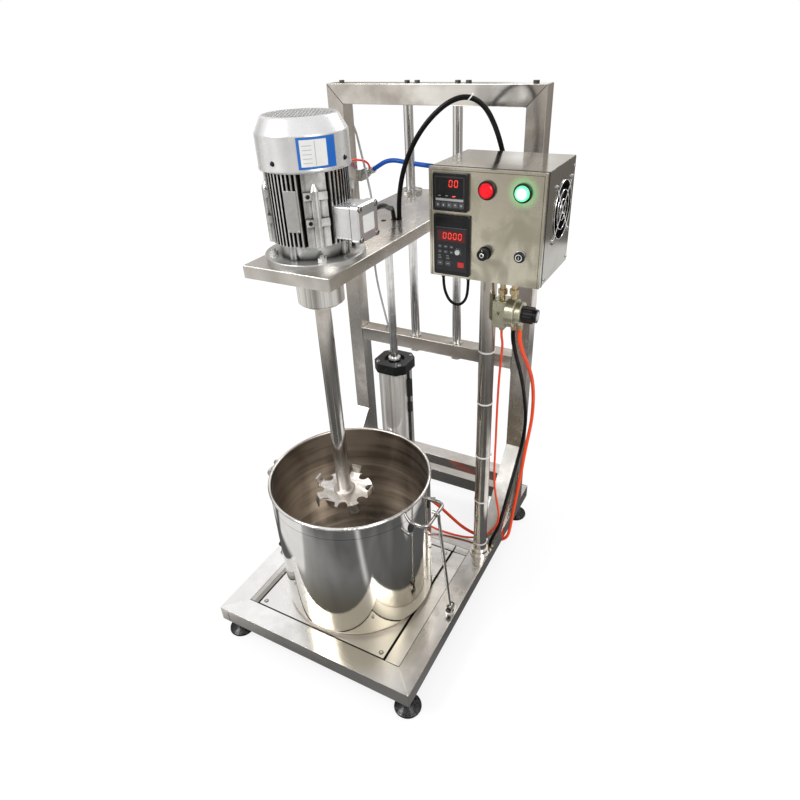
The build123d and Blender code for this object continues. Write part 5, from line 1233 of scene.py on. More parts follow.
def cover_finish():
    """Smooth silver paint outside; the perforated top is darker, and under it and inside the cap
    there is painted shade.
    """
    f = Finish("smooth_cover_paint")
    x, y, z = f.about(*motor_axis[:2])
    from_axis = reach(x, y)
    drift = f.noise(f.place(), 20.0, 3.0, 0.55)
    pale = f.fade(drift, 0.3, 0.7, (0.72, 0.72, 0.72), (0.63, 0.63, 0.63))
    lid = f.fall(from_axis, 0.064, 0.066) * f.span(z, 1.3, 1.31)
    # Under the perforated top and inside the cap's wall the colour is nearly black: painted shade.
    below = f.fall(from_axis, 0.064, 0.066)
    below = below * f.fall(z, cover_top - 0.0005, cover_top - 0.0002)
    inside = f.fall(from_axis, waist_radius - 0.003, waist_radius - 0.0022)
    inside = inside * f.fall(z, 1.29, 1.292)
    skin = f.mix(below, f.mix(lid, pale, (0.56, 0.56, 0.56)), (0.01, 0.01, 0.01))
    f.set(Base_Color=f.mix(inside, skin, (0.03, 0.03, 0.03)), Metallic=0.6,
          Roughness=f.span(drift, 0.3, 0.7, 0.24, 0.34),
          Normal=f.bump(f.noise(f.place(), 400.0), 0.04, 0.0004))
    return f.material


cover_paint = cover_finish()
cover_shell("fan_cap", cover_paint)

# %% [markdown]
# On the cover sit a label with a blue frame, which has plain lines in place of words, and four dark hexagon
# screws. A bare nameplate is riveted to the body below. A label could be a texture, but a thin curved sheet
# with its own edge catches the light as a sticker does. It is bent round the same axis as the cover and
# stands half a millimetre proud of the paint.

# %% Label, nameplate and screws on the motor
def bent_sheet(shape, radius, first, last, low, high, proud, steps=20):
    """A thin sheet bent round the motor's axis, between two angles and two heights."""
    lower, upper = [], []
    for k in range(steps + 1):
        out = heading(radians(first + (last - first) * k / steps))[0]
        for where, r in ((lower, radius), (upper, radius + proud)):
            where.append(Vector((motor_axis.x, motor_axis.y, 0.0)) + out * r)
    base = len(shape.verts)
    rows = [[p + Vector((0, 0, z)) for p in line] for line, z in ((lower, low), (upper, low), (upper, high),
                                                                  (lower, high))]
    for row in rows:
        shape.verts += row
    count = steps + 1
    for row in range(4):
        for k in range(steps):
            a, b = base + row * count + k, base + (row + 1) % 4 * count + k
            shape.faces.append((a, a + 1, b + 1, b))
    shape.faces.append(tuple(base + row * count for row in range(4)))
    shape.faces.append(tuple(base + row * count + steps for row in reversed(range(4))))
    return shape


label_blue = paint("label_blue", (0.005, 0.12, 0.5), (0.01, 0.14, 0.45), 0.0, 0.3, 0.02)
label_white = paint("label_white", (0.8, 0.8, 0.78), (0.72, 0.72, 0.7), 0.0, 0.35, 0.02)
label_grey = paint("label_print_grey", (0.42, 0.42, 0.43), (0.5, 0.5, 0.5), 0.0, 0.4, 0.02)
skin = waist_radius - 0.0011
bent_sheet(Shape(), skin, -60.5, -13.0, 1.244, 1.2955, 0.0006).piece(
    "cover_label_frame", label_blue, "silver_paint", "carriage")
bent_sheet(Shape(), skin + 0.0004, -57.0, -25.0, 1.248, 1.2915, 0.0004).piece(
    "cover_label_panel", label_white, "silver_paint", "carriage")
rows = Shape()
for row in range(5):
    bent_sheet(rows, skin + 0.0007, -54.5, -43.5, 1.2535 + 0.007 * row, 1.2549 + 0.007 * row, 0.0003, 8)
bent_sheet(rows, skin + 0.0007, -40.0, -39.0, 1.25, 1.2895, 0.0003, 3)
rows.piece("cover_label_lines", label_grey, "silver_paint", "carriage")

# Blackened screws; the same finish also paints the shade in screw recesses, sockets and holes.
black_screws_and_hole_shade = paint("blackened_screws_and_hole_shade", (0.02, 0.02, 0.021), (0.05, 0.05, 0.048), 0.8, 0.3, 0.1)
heads = Shape()
for k in range(4):
    out = heading(radians(4.0 + 90 * k - 8.0 * (k == 3)))[0]
    foot = Vector((motor_axis.x, motor_axis.y, 1.2535)) + out * (waist_radius - 0.0022)
    heads.spin([(0.0046, 0.0), (0.0046, 0.0012), (0.0042, 0.0014)], foot, out, 24)
    heads.spin([(0.0036, 0.0013), (0.0036, 0.0036), (0.0031, 0.0042), (0.0, 0.0042)], foot, out, 6)
heads.piece("cover_screws", black_screws_and_hole_shade, "zinc_steel", "carriage")

plate_metal = plated("blank_nameplate", (0.62, 0.62, 0.61), 0.32, 0.5)
nameplate = Shape()
out, across = heading(radians(-78.0))
centre = Vector((motor_axis.x, motor_axis.y, 1.171)) + out * 0.0797
corner_points = [centre + across * w + Vector((0, 0, h))
                 for w, h in ((-0.0125, -0.037), (0.0125, -0.037), (0.0125, 0.037), (-0.0125, 0.037))]
nameplate.push(rectangle(*corner_points, corner=0.0015), out * 0.0009, 0.0002)
for w, h in ((-0.0102, -0.0345), (0.0102, -0.0345), (0.0102, 0.0345), (-0.0102, 0.0345)):
    nameplate.spin([(0.0014, 0.0), (0.0013, 0.0007), (0.0008, 0.0011), (0.0, 0.0012)],
                   centre + across * w + Vector((0, 0, h)) + out * 0.0008, out, 12)
nameplate.piece("motor_nameplate", plate_metal, "silver_paint", "carriage")

# %% [markdown]
# The terminal box has four corner screws, a blank pale field on its lid and a dark rubber seal in the joint
# between lid and base. Its cable comes out through a nylon gland, which is a hexagon, a ribbed cap and a
# tapered sleeve that keeps the lead from kinking. Where a cable goes through the beam, a collar lines the
# hole.

# %% Terminal box and its gland
terminal_low, terminal_high = corners("junction_box")
lid_x = terminal_high.x
terminal_y = motor_axis.y
terminal_z = middle_of("junction_box").z
screws, socket_shade_marks = Shape(), Shape()
for y in (-0.0275, 0.0275):
    for z in (-0.0275, 0.0275):
        at = Vector((lid_x - 0.0012, terminal_y + y, terminal_z + z))
        screws.hoop([(0.005, 0.0), (0.005, 0.0024), (0.0044, 0.0034), (0.0026, 0.0036), (0.0024, 0.0016),
                     (0.0024, 0.0)], at, (1, 0, 0), 24)
        # Dark hexagons in the screws' sockets and dark rings round their heads: painted shade.
        socket_shade_marks.spin([(0.0025, 0.0), (0.0025, 0.0018)], at, (1, 0, 0), 6)
        socket_shade_marks.hoop([(0.006, 0.0), (0.006, 0.0014), (0.005, 0.0015), (0.005, 0.0)], at, (1, 0, 0), 24)


def on_lid(x, half_y, low_z, high_z, corner):
    """A rectangle parallel to the lid of the terminal box, with its heights from the box's middle."""
    low_z, high_z = terminal_z + low_z, terminal_z + high_z
    return rectangle((x, terminal_y - half_y, low_z), (x, terminal_y + half_y, low_z),
                     (x, terminal_y + half_y, high_z), (x, terminal_y - half_y, high_z), corner=corner)


half_z = (terminal_high.z - terminal_low.z) / 2 - 0.0004
seal = Shape().push(on_lid(lid_x - 0.0184, 0.0346, -half_z, half_z, 0.0078), (0.0016, 0, 0))
seal.piece("terminal_lid_seal", black_plastic, "black_plastic", "carriage")
screws.piece("terminal_lid_screws", zinc, "zinc_steel", "carriage")
socket_shade_marks.piece("terminal_lid_socket_shade", black_screws_and_hole_shade, "zinc_steel", "carriage")
field = Shape().push(on_lid(lid_x, 0.019, -0.017, 0.014, 0.002), (0.0005, 0, 0), 0.0001)
field.piece("terminal_lid_field", label_white, "silver_paint", "carriage")
nylon = paint("black_nylon", (0.008, 0.008, 0.009), (0.018, 0.018, 0.018), 0.0, 0.3, 0.1, 400.0, shine=0.3)


def gland(shape, at, along, radius, length=0.022):
    """A cable gland: hexagon, ribbed cap and tapered sleeve."""
    hexagon = radius * 1.75
    shape.spin([(hexagon, 0.0), (hexagon, length * 0.28), (hexagon * 0.95, length * 0.32)], at, along, 6)
    shape.spin([(radius * 1.55, length * 0.3), (radius * 1.6, length * 0.62), (radius * 1.35, length * 0.8),
                (radius * 1.1, length), (radius * 1.0, length)], at, along, 24)
    for rib in ring_of(12, 1.0, (0, 0, 0)):
        place, side, other, forward = shape.frame_of(at, along)
        foot = place + (side * rib.x + other * rib.y) * radius * 1.5
        shape.sweep([foot + forward * length * 0.34, foot + forward * length * 0.6], radius * 0.14, 6)
    return shape


gland(Shape(), (0.0448, -0.15, 1.1495), (0, 1, 0), 0.0048, 0.014).piece(
    "motor_lead_gland", nylon, "black_plastic", "carriage")
collars = Shape()
for x, y in ((-0.0277, 0.1005), (-0.0357, 0.09)):
    collars.hoop([(0.0054, -0.0004), (0.0078, -0.0004), (0.0078, 0.0008), (0.007, 0.0016), (0.0056, 0.0016)],
                 (x, y, 1.066), (0, 0, 1), 32)
collars.hoop([(0.004, -0.0004), (0.0066, -0.0004), (0.0066, 0.0004), (0.006, 0.0008), (0.0042, 0.0008)],
             (-0.0542, 0.073, 1.066), (0, 0, 1), 32)
collars.spin([(0.0044, -0.0008), (0.0044, -0.0004), (0.0, -0.0004)], (-0.0542, 0.073, 1.066), (0, 0, 1), 24)
collars.piece("beam_grommets", nylon, "black_plastic", "carriage")
loop_glands = Shape()
for x in (0.1298, 0.1888):
    gland(loop_glands, (x, 0.008, 0.9965), (0, 0, -1), 0.0036, 0.018)
loop_glands.piece("box_loop_glands", nylon, "black_plastic")
back_glands = Shape()
gland(back_glands, (0.1858, 0.1562, 1.076), (0, 1, 0), 0.0058, 0.026)
gland(back_glands, (0.1628, 0.1562, 1.115), (0, 1, 0), 0.0065, 0.024)
back_glands.piece("box_back_glands", nylon, "black_plastic")

# %% [markdown]
# The control box has two instruments on its left. The upper one is a speed meter: a black frame, a dark
# window with two red digits, a small lamp, a silver bar and five keys with arrows. The lower one is the
# drive's keypad: a dark cap, a red window with four digits, grey keys, one red key and short marks round
# its small knob. Every digit is a nought, built from six of the seven glowing bars of a real one, so it
# stays sharp at any zoom.

# %% Display digits
def glow(name, colour, strength, deep=None):
    """A lit plastic: its own light over a coloured body."""
    f = Finish(name)
    cloud = f.noise(f.place(), 160.0, 2.0)
    f.set(Base_Color=deep or colour, Roughness=0.3,
          Emission_Color=f.fade(cloud, 0.3, 0.7, colour, tuple(c * 0.8 for c in colour)),
          Emission_Strength=strength)
    return f.material


red_bar = glow("red_display_bar", (1.0, 0.055, 0.035), 1.5, (0.3, 0.0, 0.0))
red_dim = paint("dark_red_window", (0.085, 0.004, 0.004), (0.05, 0.002, 0.002), 0.0, 0.12, 0.02)
window_black = paint("dark_window", (0.006, 0.006, 0.007), (0.01, 0.01, 0.011), 0.0, 0.1, 0.01, shine=0.3)
key_grey = paint("soft_key_grey", (0.055, 0.058, 0.066), (0.085, 0.088, 0.095), 0.0, 0.4, 0.15, 900.0,
                 shine=0.3)
frame_black = paint("instrument_frame", (0.005, 0.005, 0.006), (0.01, 0.01, 0.011), 0.0, 0.18, 0.05, 900.0,
                    shine=0.35)
face_grey = paint("instrument_face", (0.018, 0.019, 0.022), (0.03, 0.031, 0.034), 0.0, 0.3, 0.05, 700.0,
                  shine=0.3)
pale_print = paint("pale_print", (0.5, 0.5, 0.51), (0.42, 0.42, 0.43), 0.0, 0.45, 0.02)
silver_bar = plated("silver_bar", (0.68, 0.68, 0.69), 0.22, 0.3)


def zero(shape, x, z, tall, y):
    """A nought with its lower left corner at x, z, standing out of the face at y."""
    wide, thick = tall * 0.52, tall * 0.115
    for (u0, w0), (u1, w1) in (((0, 1), (1, 1)), ((1, 1), (1, 0.5)), ((1, 0.5), (1, 0)), ((0, 0), (1, 0)),
                               ((0, 0.5), (0, 0)), ((0, 1), (0, 0.5))):
        start = Vector((x + u0 * wide + w0 * tall * 0.08, y, z + w0 * tall))
        end = Vector((x + u1 * wide + w1 * tall * 0.08, y, z + w1 * tall))
        along = (end - start).normalized()
        side = Vector((along.z, 0.0, -along.x)) * thick / 2
        start, end = start + along * thick * 0.65, end - along * thick * 0.65
        tip = along * thick * 0.45
        shape.push([start - tip, start + side, end + side, end + tip, end - side, start - side],
                   (0, -0.0003, 0))


def facing(x0, x1, z0, z1, y, corner=0.0):
    """A rectangle on the box's front, as seen from outside."""
    return rectangle((x0, y, z0), (x1, y, z0), (x1, y, z1), (x0, y, z1), corner=corner)


def raised(shape, x0, x1, z0, z1, y, deep, edge=0.0, corner=0.0):
    """Adds a flat bar that stands out of the box's front by its depth."""
    return shape.push(facing(x0, x1, z0, z1, y, corner), (0, -deep, 0), edge)


def panel(name, finish, slot, *bar):
    """A flat bar on the box's front that is a piece of its own."""
    raised(Shape(), *bar).piece(name, finish, slot, "frame", 25)


print("display digits are ready")

# %% Speed meter
meter_low, meter_high = corners("speed_meter")
mx0, mx1, mz0, mz1, my = meter_low.x, meter_high.x, meter_low.z, meter_high.z, meter_low.y
panel("meter_frame", frame_black, "black_plastic",
      mx0 + 0.0003, mx1 - 0.0003, mz0 + 0.0003, mz1 - 0.0003, my + 0.0062, 0.007, 0.0012, 0.003)
panel("meter_face", face_grey, "black_plastic",
      mx0 + 0.0055, mx1 - 0.0055, mz0 + 0.0055, mz1 - 0.0055, my - 0.0006, 0.0006, 0.0002, 0.002)
panel("meter_window", window_black, "black_plastic",
      mx0 + 0.0085, mx1 - 0.0085, mz0 + 0.027, mz1 - 0.0085, my - 0.0011, 0.0005, 0.0001, 0.001)
lit = Shape()
for k in range(2):
    zero(lit, mx0 + 0.0365 + 0.0115 * k, mz1 - 0.0245, 0.012, my - 0.0016)
raised(lit, mx0 + 0.044, mx0 + 0.0485, mz0 + 0.0283, mz0 + 0.0305, my - 0.0016, 0.0003)
lit.piece("meter_digits", red_bar, "red_plastic", "frame", 25)
panel("meter_silver_bar", silver_bar, "silver_plastic",
      mx0 + 0.0075, mx1 - 0.0075, mz0 + 0.0205, mz0 + 0.025, my - 0.0011, 0.0006, 0.0002, 0.0006)
keys, marks = Shape(), Shape()
for k in range(5):
    x = mx0 + 0.0122 + 0.0126 * k
    raised(keys, x - 0.0052, x + 0.0052, mz0 + 0.008, mz0 + 0.018, my - 0.001, 0.0011, 0.0004, 0.0016)
    y = my - 0.0021
    arrow = {0: [(-1, 0), (1, -1), (1, 1)], 1: [(0, 1), (-1, -1), (1, -1)], 2: [(1, 0), (-1, 1), (-1, -1)],
             3: [(0, -1), (1, 1), (-1, 1)], 4: [(-0.8, -0.8), (0.8, -0.8), (0.8, 0.8), (-0.8, 0.8)]}[k]
    marks.push([(x + u * 0.0017, y, mz0 + 0.013 + w * 0.0017) for u, w in arrow], (0, -0.0002, 0))
keys.piece("meter_keys", key_grey, "black_plastic", "frame", 25)
for k in range(3):
    raised(marks, mx0 + 0.013 + 0.016 * k, mx0 + 0.019 + 0.016 * k, mz0 + 0.0298, mz0 + 0.0306, my - 0.0016,
           0.0002)
marks.piece("meter_key_arrows", pale_print, "silver_plastic", "frame", 25)

# %% Drive keypad
drive_low, drive_high = corners("drive_panel")
dx0, dx1, dz0, dz1, dy = drive_low.x, drive_high.x, drive_low.z, drive_high.z, drive_low.y
panel("drive_frame", frame_black, "black_plastic",
      dx0 + 0.0003, dx1 - 0.0003, dz0 + 0.0003, dz1 - 0.0003, dy + 0.0045, 0.0052, 0.0012, 0.004)
panel("drive_face", face_grey, "black_plastic",
      dx0 + 0.006, dx1 - 0.006, dz0 + 0.009, dz1 - 0.027, dy - 0.0006, 0.0007, 0.0002, 0.0015)
panel("drive_cap_field", window_black, "black_plastic",
      dx0 + 0.007, dx1 - 0.007, dz1 - 0.023, dz1 - 0.006, dy - 0.0006, 0.0008, 0.0003, 0.0015)
panel("drive_face_edge", key_grey, "black_plastic",
      dx0 + 0.006, dx1 - 0.006, dz1 - 0.0263, dz1 - 0.0248, dy - 0.0006, 0.0009, 0.0002)
panel("drive_window", red_dim, "red_plastic",
      dx0 + 0.0095, dx1 - 0.0095, dz1 - 0.053, dz1 - 0.031, dy - 0.0012, 0.0006, 0.0002, 0.001)
lit = Shape()
for k in range(4):
    zero(lit, dx0 + 0.0225 + 0.0112 * k, dz1 - 0.0475, 0.0118, dy - 0.0018)
lit.piece("drive_digits", red_bar, "red_plastic", "frame", 25)
pads, prints = Shape(), Shape()
for row in range(2):
    for column in range(3):
        x, z = dx0 + 0.015 + 0.013 * column, dz1 - 0.064 - 0.011 * row
        raised(pads, x - 0.0042, x + 0.0042, z - 0.0032, z + 0.0032, dy - 0.0012, 0.0007, 0.0003, 0.001)
        raised(prints, x - 0.002, x + 0.002, z - 0.0005, z + 0.0005, dy - 0.0019, 0.0002)
for row in range(2):
    x, z = dx0 + 0.015 + 0.018 * row, dz0 + 0.025
    raised(pads, x - 0.006, x + 0.006, z - 0.0052, z + 0.0052, dy - 0.0012, 0.0009, 0.0004, 0.0012)
    raised(prints, x - 0.003, x + 0.003, z - 0.0006, z + 0.0006, dy - 0.0021, 0.0002)
    for line in range(3):
        raised(prints, x - 0.004, x + 0.0034 - 0.001 * line, dz0 + 0.0345 + 0.0032 * line,
               dz0 + 0.0351 + 0.0032 * line, dy - 0.0012, 0.0002)
at = middle_of("drive_knob")
at.y = dy - 0.0012
for k in range(10):
    a = radians(-50 + 280 * k / 9)
    out = Vector((cos(a), 0.0, sin(a)))
    turn_side = Vector((-out.z, 0.0, out.x)) * 0.00025
    prints.push([at + out * 0.0068 + turn_side, at + out * 0.0084 + turn_side, at + out * 0.0084 - turn_side,
                 at + out * 0.0068 - turn_side], (0, -0.0002, 0))
pads.piece("drive_keys", key_grey, "black_plastic", "frame", 25)
prints.piece("drive_print", pale_print, "silver_plastic", "frame", 25)
red_cap = paint("red_key_plastic", (0.62, 0.03, 0.03), (0.5, 0.02, 0.02), 0.0, 0.32, 0.08, 600.0)
panel("drive_red_key", red_cap, "red_plastic",
      dx1 - 0.025, dx1 - 0.011, dz0 + 0.019, dz0 + 0.03, dy - 0.0012, 0.0012, 0.0005, 0.0014)

# %% [markdown]
# The two push-buttons are lit from inside. A lit lens is brightest in its middle, where the lamp sits, and
# falls off to its own colour at the rim, so the light's colour follows the distance from the axis. The
# green one is so bright in the photograph that it also tints the steel round it, and the finish of the
# front repeats that with a soft glow that dies away within a few centimetres.

# %% Lit buttons and the glow on the steel
def lens(name, node, centre_colour, rim_colour, body_colour, strength):
    """A lit button: bright in the middle, its own colour at the rim."""
    f = Finish(name)
    x, y, z = f.about(*middle_of(node))
    away = reach(x, z)
    ripple = f.noise(f.place(), 700.0, 1.0)
    f.set(Base_Color=body_colour, Roughness=0.18, Coat_Weight=0.25, Specular_IOR_Level=0.3,
          Emission_Color=f.fade(away, 0.0072, 0.0128, centre_colour, rim_colour),
          Emission_Strength=strength, Normal=f.bump(ripple, 0.1, 0.0004))
    dress(node, f.material, 0.0006)


lens("red_lens", "stop_button", (0.9, 0.012, 0.022), (0.42, 0.0, 0.006), (0.35, 0.0, 0.004), 0.95)
lens("green_lens", "start_button", (1.0, 1.0, 1.0), (0.1, 0.8, 0.36), (0.1, 0.5, 0.25), 1.05)


def halo_steel(name):
    """The front sheet: ground steel with a warm tint of painted reflection, and the green lamp's
    glow on it.
    """
    f = Finish(name)
    here = f.place()
    lines = f.noise(f.place((900.0, 900.0, 9.0)), 1.0, 3.0, 0.6)
    clouds = f.noise(f.place((1.0, 1.0, 0.6)), 9.0, 4.0, 0.55, 0.8)
    x, y, z = f.about(*middle_of("start_button"))
    away = reach(x, z)
    glow_share = f.fall(away, 0.012, 0.036)
    patches = f.noise(f.place((1.0, 1.0, 0.8)), 16.0, 2.0, 0.5, 0.7)
    tone = f.span(clouds + f.span(patches, 0.4, 0.6, -0.08, 0.08), 0.34, 0.66)
    # The warm olive tint of the sheet is a painted reflection; the green near the button is the lamp's
    # painted glow.
    f.set(Base_Color=f.mix(tone, (0.5, 0.472, 0.372), (0.72, 0.68, 0.565)), Metallic=1.0,
          Roughness=f.span(tone, 0.0, 1.0, 0.36, 0.24),
          Emission_Color=f.mix(glow_share, (0.0, 0.0, 0.0), (0.02, 0.62, 0.12)), Emission_Strength=0.55,
          Normal=f.bump(lines, 0.07, 0.0004, f.bump(clouds, 0.06, 0.004)))
    return f.material


dress("box_front", halo_steel("box_front_lit_steel"), 0.0)
print("buttons lit")

# %% Knob cap, key slot and valve cap
knob_x, knob_z = middle_of("speed_knob").x, middle_of("speed_knob").z
knob_face = corners("speed_knob")[0].y
cap = Shape().hoop([(0.0048, -0.0002), (0.0048, 0.0006), (0.0042, 0.0011), (0.003, 0.0011), (0.0026, 0.0004),
                    (0.0026, -0.0002)], (knob_x, knob_face, knob_z), (0, -1, 0), 32)
cap.piece("speed_knob_cap", chrome, "chrome_steel", "speed_dial")
pointer = raised(Shape(), knob_x - 0.0004, knob_x + 0.0004, knob_z + 0.0074, knob_z + 0.0108,
                 knob_face + 0.0012, 0.0004)
pointer.piece("speed_knob_pointer", label_white, "silver_plastic", "speed_dial")
key_x, key_z = middle_of("key_switch").x, middle_of("key_switch").z
key_face = corners("key_switch")[0].y
front_y = corners("box_front")[0].y
collar = Shape().hoop([(0.0072, 0.0), (0.0118, 0.0), (0.0118, 0.0016), (0.01, 0.0022), (0.01, 0.005),
                       (0.0092, 0.006), (0.008, 0.0058), (0.0072, 0.005)], (key_x, front_y, key_z),
                      (0, -1, 0), 40)
collar.piece("key_switch_ring", silver_bar, "chrome_steel")
core = Shape().spin([(0.0052, -0.0001), (0.0052, 0.0004), (0.0, 0.0004)], (key_x, key_face, key_z),
                    (0, -1, 0), 24)
core.piece("key_core_face", window_black, "black_plastic", "key_core")
slot = raised(Shape(), key_x - 0.0006, key_x + 0.0006, key_z - 0.0032, key_z + 0.0032, key_face - 0.0004,
              0.0004)
slot.piece("key_slot", pale_print, "silver_plastic", "key_core")
valve_end = middle_of("valve_knob")
valve_end.x = corners("valve_knob")[1].x
cap = Shape().spin([(0.0105, -0.0002), (0.0105, 0.0004), (0.0098, 0.0009), (0.004, 0.0011), (0.0, 0.0011)],
                   valve_end, (1, 0, 0), 40)
cap.piece("valve_knob_cap", silver_bar, "silver_plastic", "valve_dial")

# %% [markdown]
# The door of the control box closes against a thin black seal, which shows as a dark line round its edge,
# and the side panel is held by small screws. The box fan's finger guard is bent from wire, and it stands
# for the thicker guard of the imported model. Nylon ties hold the wiring against the pole and the thick
# cable. A tie is a flat band with a small head, so it is spun as a ring with a rectangular section, not a
# wire.

# %% Box seal, box screws and fan guard
box_low, box_high = corners("control_box")
door_low, door_high = corners("box_front")
seal_rubber_and_groove_shade = paint("door_seal_rubber", (0.012, 0.012, 0.012), (0.02, 0.02, 0.02), 0.0, 0.6, 0.1)
seal = Shape()
y0, y1, proud = door_high.y - 0.0004, door_high.y + 0.0022, 0.0005
for x in (door_low.x, door_high.x):
    out = -proud if x == door_low.x else proud
    seal.push([(x, y0, door_low.z), (x, y1, door_low.z), (x, y1, door_high.z), (x, y0, door_high.z)],
              (out, 0, 0))
for z in (door_low.z, door_high.z):
    out = -proud if z == door_low.z else proud
    seal.push([(door_low.x, y0, z), (door_high.x, y0, z), (door_high.x, y1, z), (door_low.x, y1, z)],
              (0, 0, out))
# Three thin dark strips a little inside the door's edges stand for a groove: painted shade.
inset, half_line = 0.005, 0.0004
top = door_high.z - inset
for x in (door_low.x + inset, door_high.x - inset):
    raised(seal, x - half_line, x + half_line, door_low.z + 0.001, top, door_low.y, 0.0002)
raised(seal, door_low.x + inset, door_high.x - inset, top - half_line, top + half_line, door_low.y, 0.0002)
seal.piece("door_seal", seal_rubber_and_groove_shade, "foot_rubber")


def pan_head(heads, recesses, at, out, radius=0.003):
    """A small pan-head screw whose cross recess is a dark cross of painted shade."""
    heads.spin([(radius, 0.0), (radius, 0.0006), (radius * 0.8, 0.0014), (radius * 0.4, 0.0018),
                (0.0, 0.0019)], at, out, 20)
    place, side, other, along = heads.frame_of(at, out)
    for first, second in ((side, other), (other, side)):
        a, b = first * radius * 0.62, second * radius * 0.14
        recesses.push([place + along * 0.0012 - a - b, place + along * 0.0012 + a - b,
                       place + along * 0.0012 + a + b, place + along * 0.0012 - a + b], along * 0.0008)


heads, recesses = Shape(), Shape()
for y, z in ((0.15, 1.008), (0.15, 1.196), (-0.006, 1.008)):
    pan_head(heads, recesses, (box_high.x, y, z), (1, 0, 0))
for y, z in ((0.02, 1.005), (0.02, 1.196), (0.15, 1.005), (0.15, 1.196)):
    pan_head(heads, recesses, (box_low.x, y, z), (-1, 0, 0))
for x in (box_low.x + 0.014, box_high.x - 0.014):
    for z in (1.001, 1.201):
        pan_head(heads, recesses, (x, box_high.y, z), (0, 1, 0))
wires = Shape()
fan_centre = Vector((0.359, 0.085, 1.124))
fan_screw = 0.0525
for radius in (0.057, 0.0385, 0.0205):
    ring = [fan_centre + Vector((0, radius * u, radius * w)) for u, w in circle(64)]
    wires.sweep(ring + ring[:1], 0.0009, 8)
wires.spin([(0.0085, -0.001), (0.0085, 0.0004), (0.0076, 0.001), (0.0, 0.001)], fan_centre, (1, 0, 0), 32)
for k in range(4):
    a = radians(45 + 90 * k)
    out = Vector((0.0, cos(a), sin(a)))
    wires.sweep([fan_centre + out * 0.006, fan_centre + out * 0.07], 0.001, 8)
    wires.hoop([(0.0026, -0.001), (0.0052, -0.001), (0.0052, 0.0006), (0.0026, 0.0006)],
               fan_centre + out * 0.0742, (1, 0, 0), 24)
wires.piece("fan_wire_guard", chrome, "chrome_steel", "frame", 40, stands_for=("fan_guard",))
fan_heads, fan_recesses = Shape(), Shape()
for y in (-fan_screw, fan_screw):
    for z in (-fan_screw, fan_screw):
        pan_head(fan_heads, fan_recesses, fan_centre + Vector((0.0002, y, z)), (1, 0, 0), 0.0046)
fan_heads.piece("fan_guard_screws", dull_chrome, "zinc_steel")
fan_recesses.piece("fan_screw_recesses", black_screws_and_hole_shade, "black_plastic")
heads.piece("box_screws", zinc, "zinc_steel")
recesses.piece("box_screw_recesses", black_screws_and_hole_shade, "black_plastic")

# %% Ties
tie_white = paint("white_nylon_ties", (0.8, 0.8, 0.78), (0.7, 0.7, 0.68), 0.0, 0.4, 0.05)


def tie(shape, at, along, radius, width=0.0032, head=0.0):
    """A nylon tie: a flat band and its head."""
    shape.hoop([(radius, -width / 2), (radius + 0.0012, -width / 2), (radius + 0.0012, width / 2),
                (radius, width / 2)], at, along, 40)
    place, side, other, along = shape.frame_of(at, along)
    out = cos(head) * side + sin(head) * other
    across = along.cross(out)
    foot = place + out * radius
    shape.push([foot - across * 0.0028 - along * 0.0026, foot + across * 0.0028 - along * 0.0026,
                foot + across * 0.0028 + along * 0.0026, foot - across * 0.0028 + along * 0.0026],
               out * 0.0042, 0.0006)


pole_axis = spot(0.267, 0.075, 0.0)
ties = Shape()
for z, head in ((0.783, 2.2), (0.638, 2.6), (0.472, 2.0), (0.317, 2.4), (0.157, 2.2)):
    tie(ties, (pole_axis.x, pole_axis.y, z), (0.01, 0, 1), 0.0192, head=head)
ties.piece("pole_ties", tie_white, "silver_plastic")
cable_tie = Shape()
tie(cable_tie, (0.1278, 0.146, 1.3165), (0.62, 0.26, -0.6), 0.0058, 0.0024, 1.2)
cable_tie.piece("lift_cable_tie", tie_white, "silver_plastic")
print("six ties")

# %% [markdown]
# Every joint of the frame is welded and then ground back, which leaves a thin dark line. From the camera
# one reads these lines before anything else, so they are thin strips of their own, two tenths of a
# millimetre proud, that run across the portal's mitres, round the ends of the cross bars, down one seam of
# the base and along three sides of the tray's border.

# %% Weld lines
weld_brown = plated("weld_line", (0.085, 0.07, 0.055), 0.42, 0.4)


def weld(lines, start, end, out, width=0.0011, proud=0.0002):
    """A ground weld line between two points on a face that looks along out."""
    start, end, out = Vector(start), Vector(end), Vector(out).normalized()
    along = (end - start).normalized()
    side = along.cross(out) * width / 2
    lines.push([start - side, end - side, end + side, start + side], out * proud)


portal_low, portal_high = corners("uprights")
tube = portal_high.y - portal_low.y
welds = Shape()
inner = {-1: portal_low.x + tube, 1: portal_high.x - tube}
outer = {-1: portal_low.x, 1: portal_high.x}
front, back, under = portal_low.y, portal_high.y, portal_high.z - tube
for end in (-1, 1):
    for y, out in ((front, -1), (back, 1)):
        weld(welds, (outer[end] - end * 0.001, y, portal_high.z - 0.001), (inner[end], y, under),
             (0, out, 0), 0.0015)
    corner = (inner[end], front, under)
    weld(welds, corner, (inner[end], back, under), (-end, 0, 0), 0.0022)
    weld(welds, corner, (inner[end] - end * 0.006, front, under), (0, 0, -1), 0.0022)
bars_low, bars_high = corners("middle_crossbars")
for low, high in ((bars_low.z, bars_low.z + tube), (bars_high.z - tube, bars_high.z)):
    for x in (bars_low.x, bars_high.x):
        weld(welds, (x, bars_low.y, low), (x, bars_low.y, high), (0, -1, 0), 0.0016)
        weld(welds, (x, bars_high.y, low), (x, bars_high.y, high), (0, 1, 0), 0.0016)
        weld(welds, (x, bars_low.y, high), (x, bars_high.y, high), (0, 0, 1), 0.0016)
welds.piece("frame_weld_lines", weld_brown, "satin_stainless")

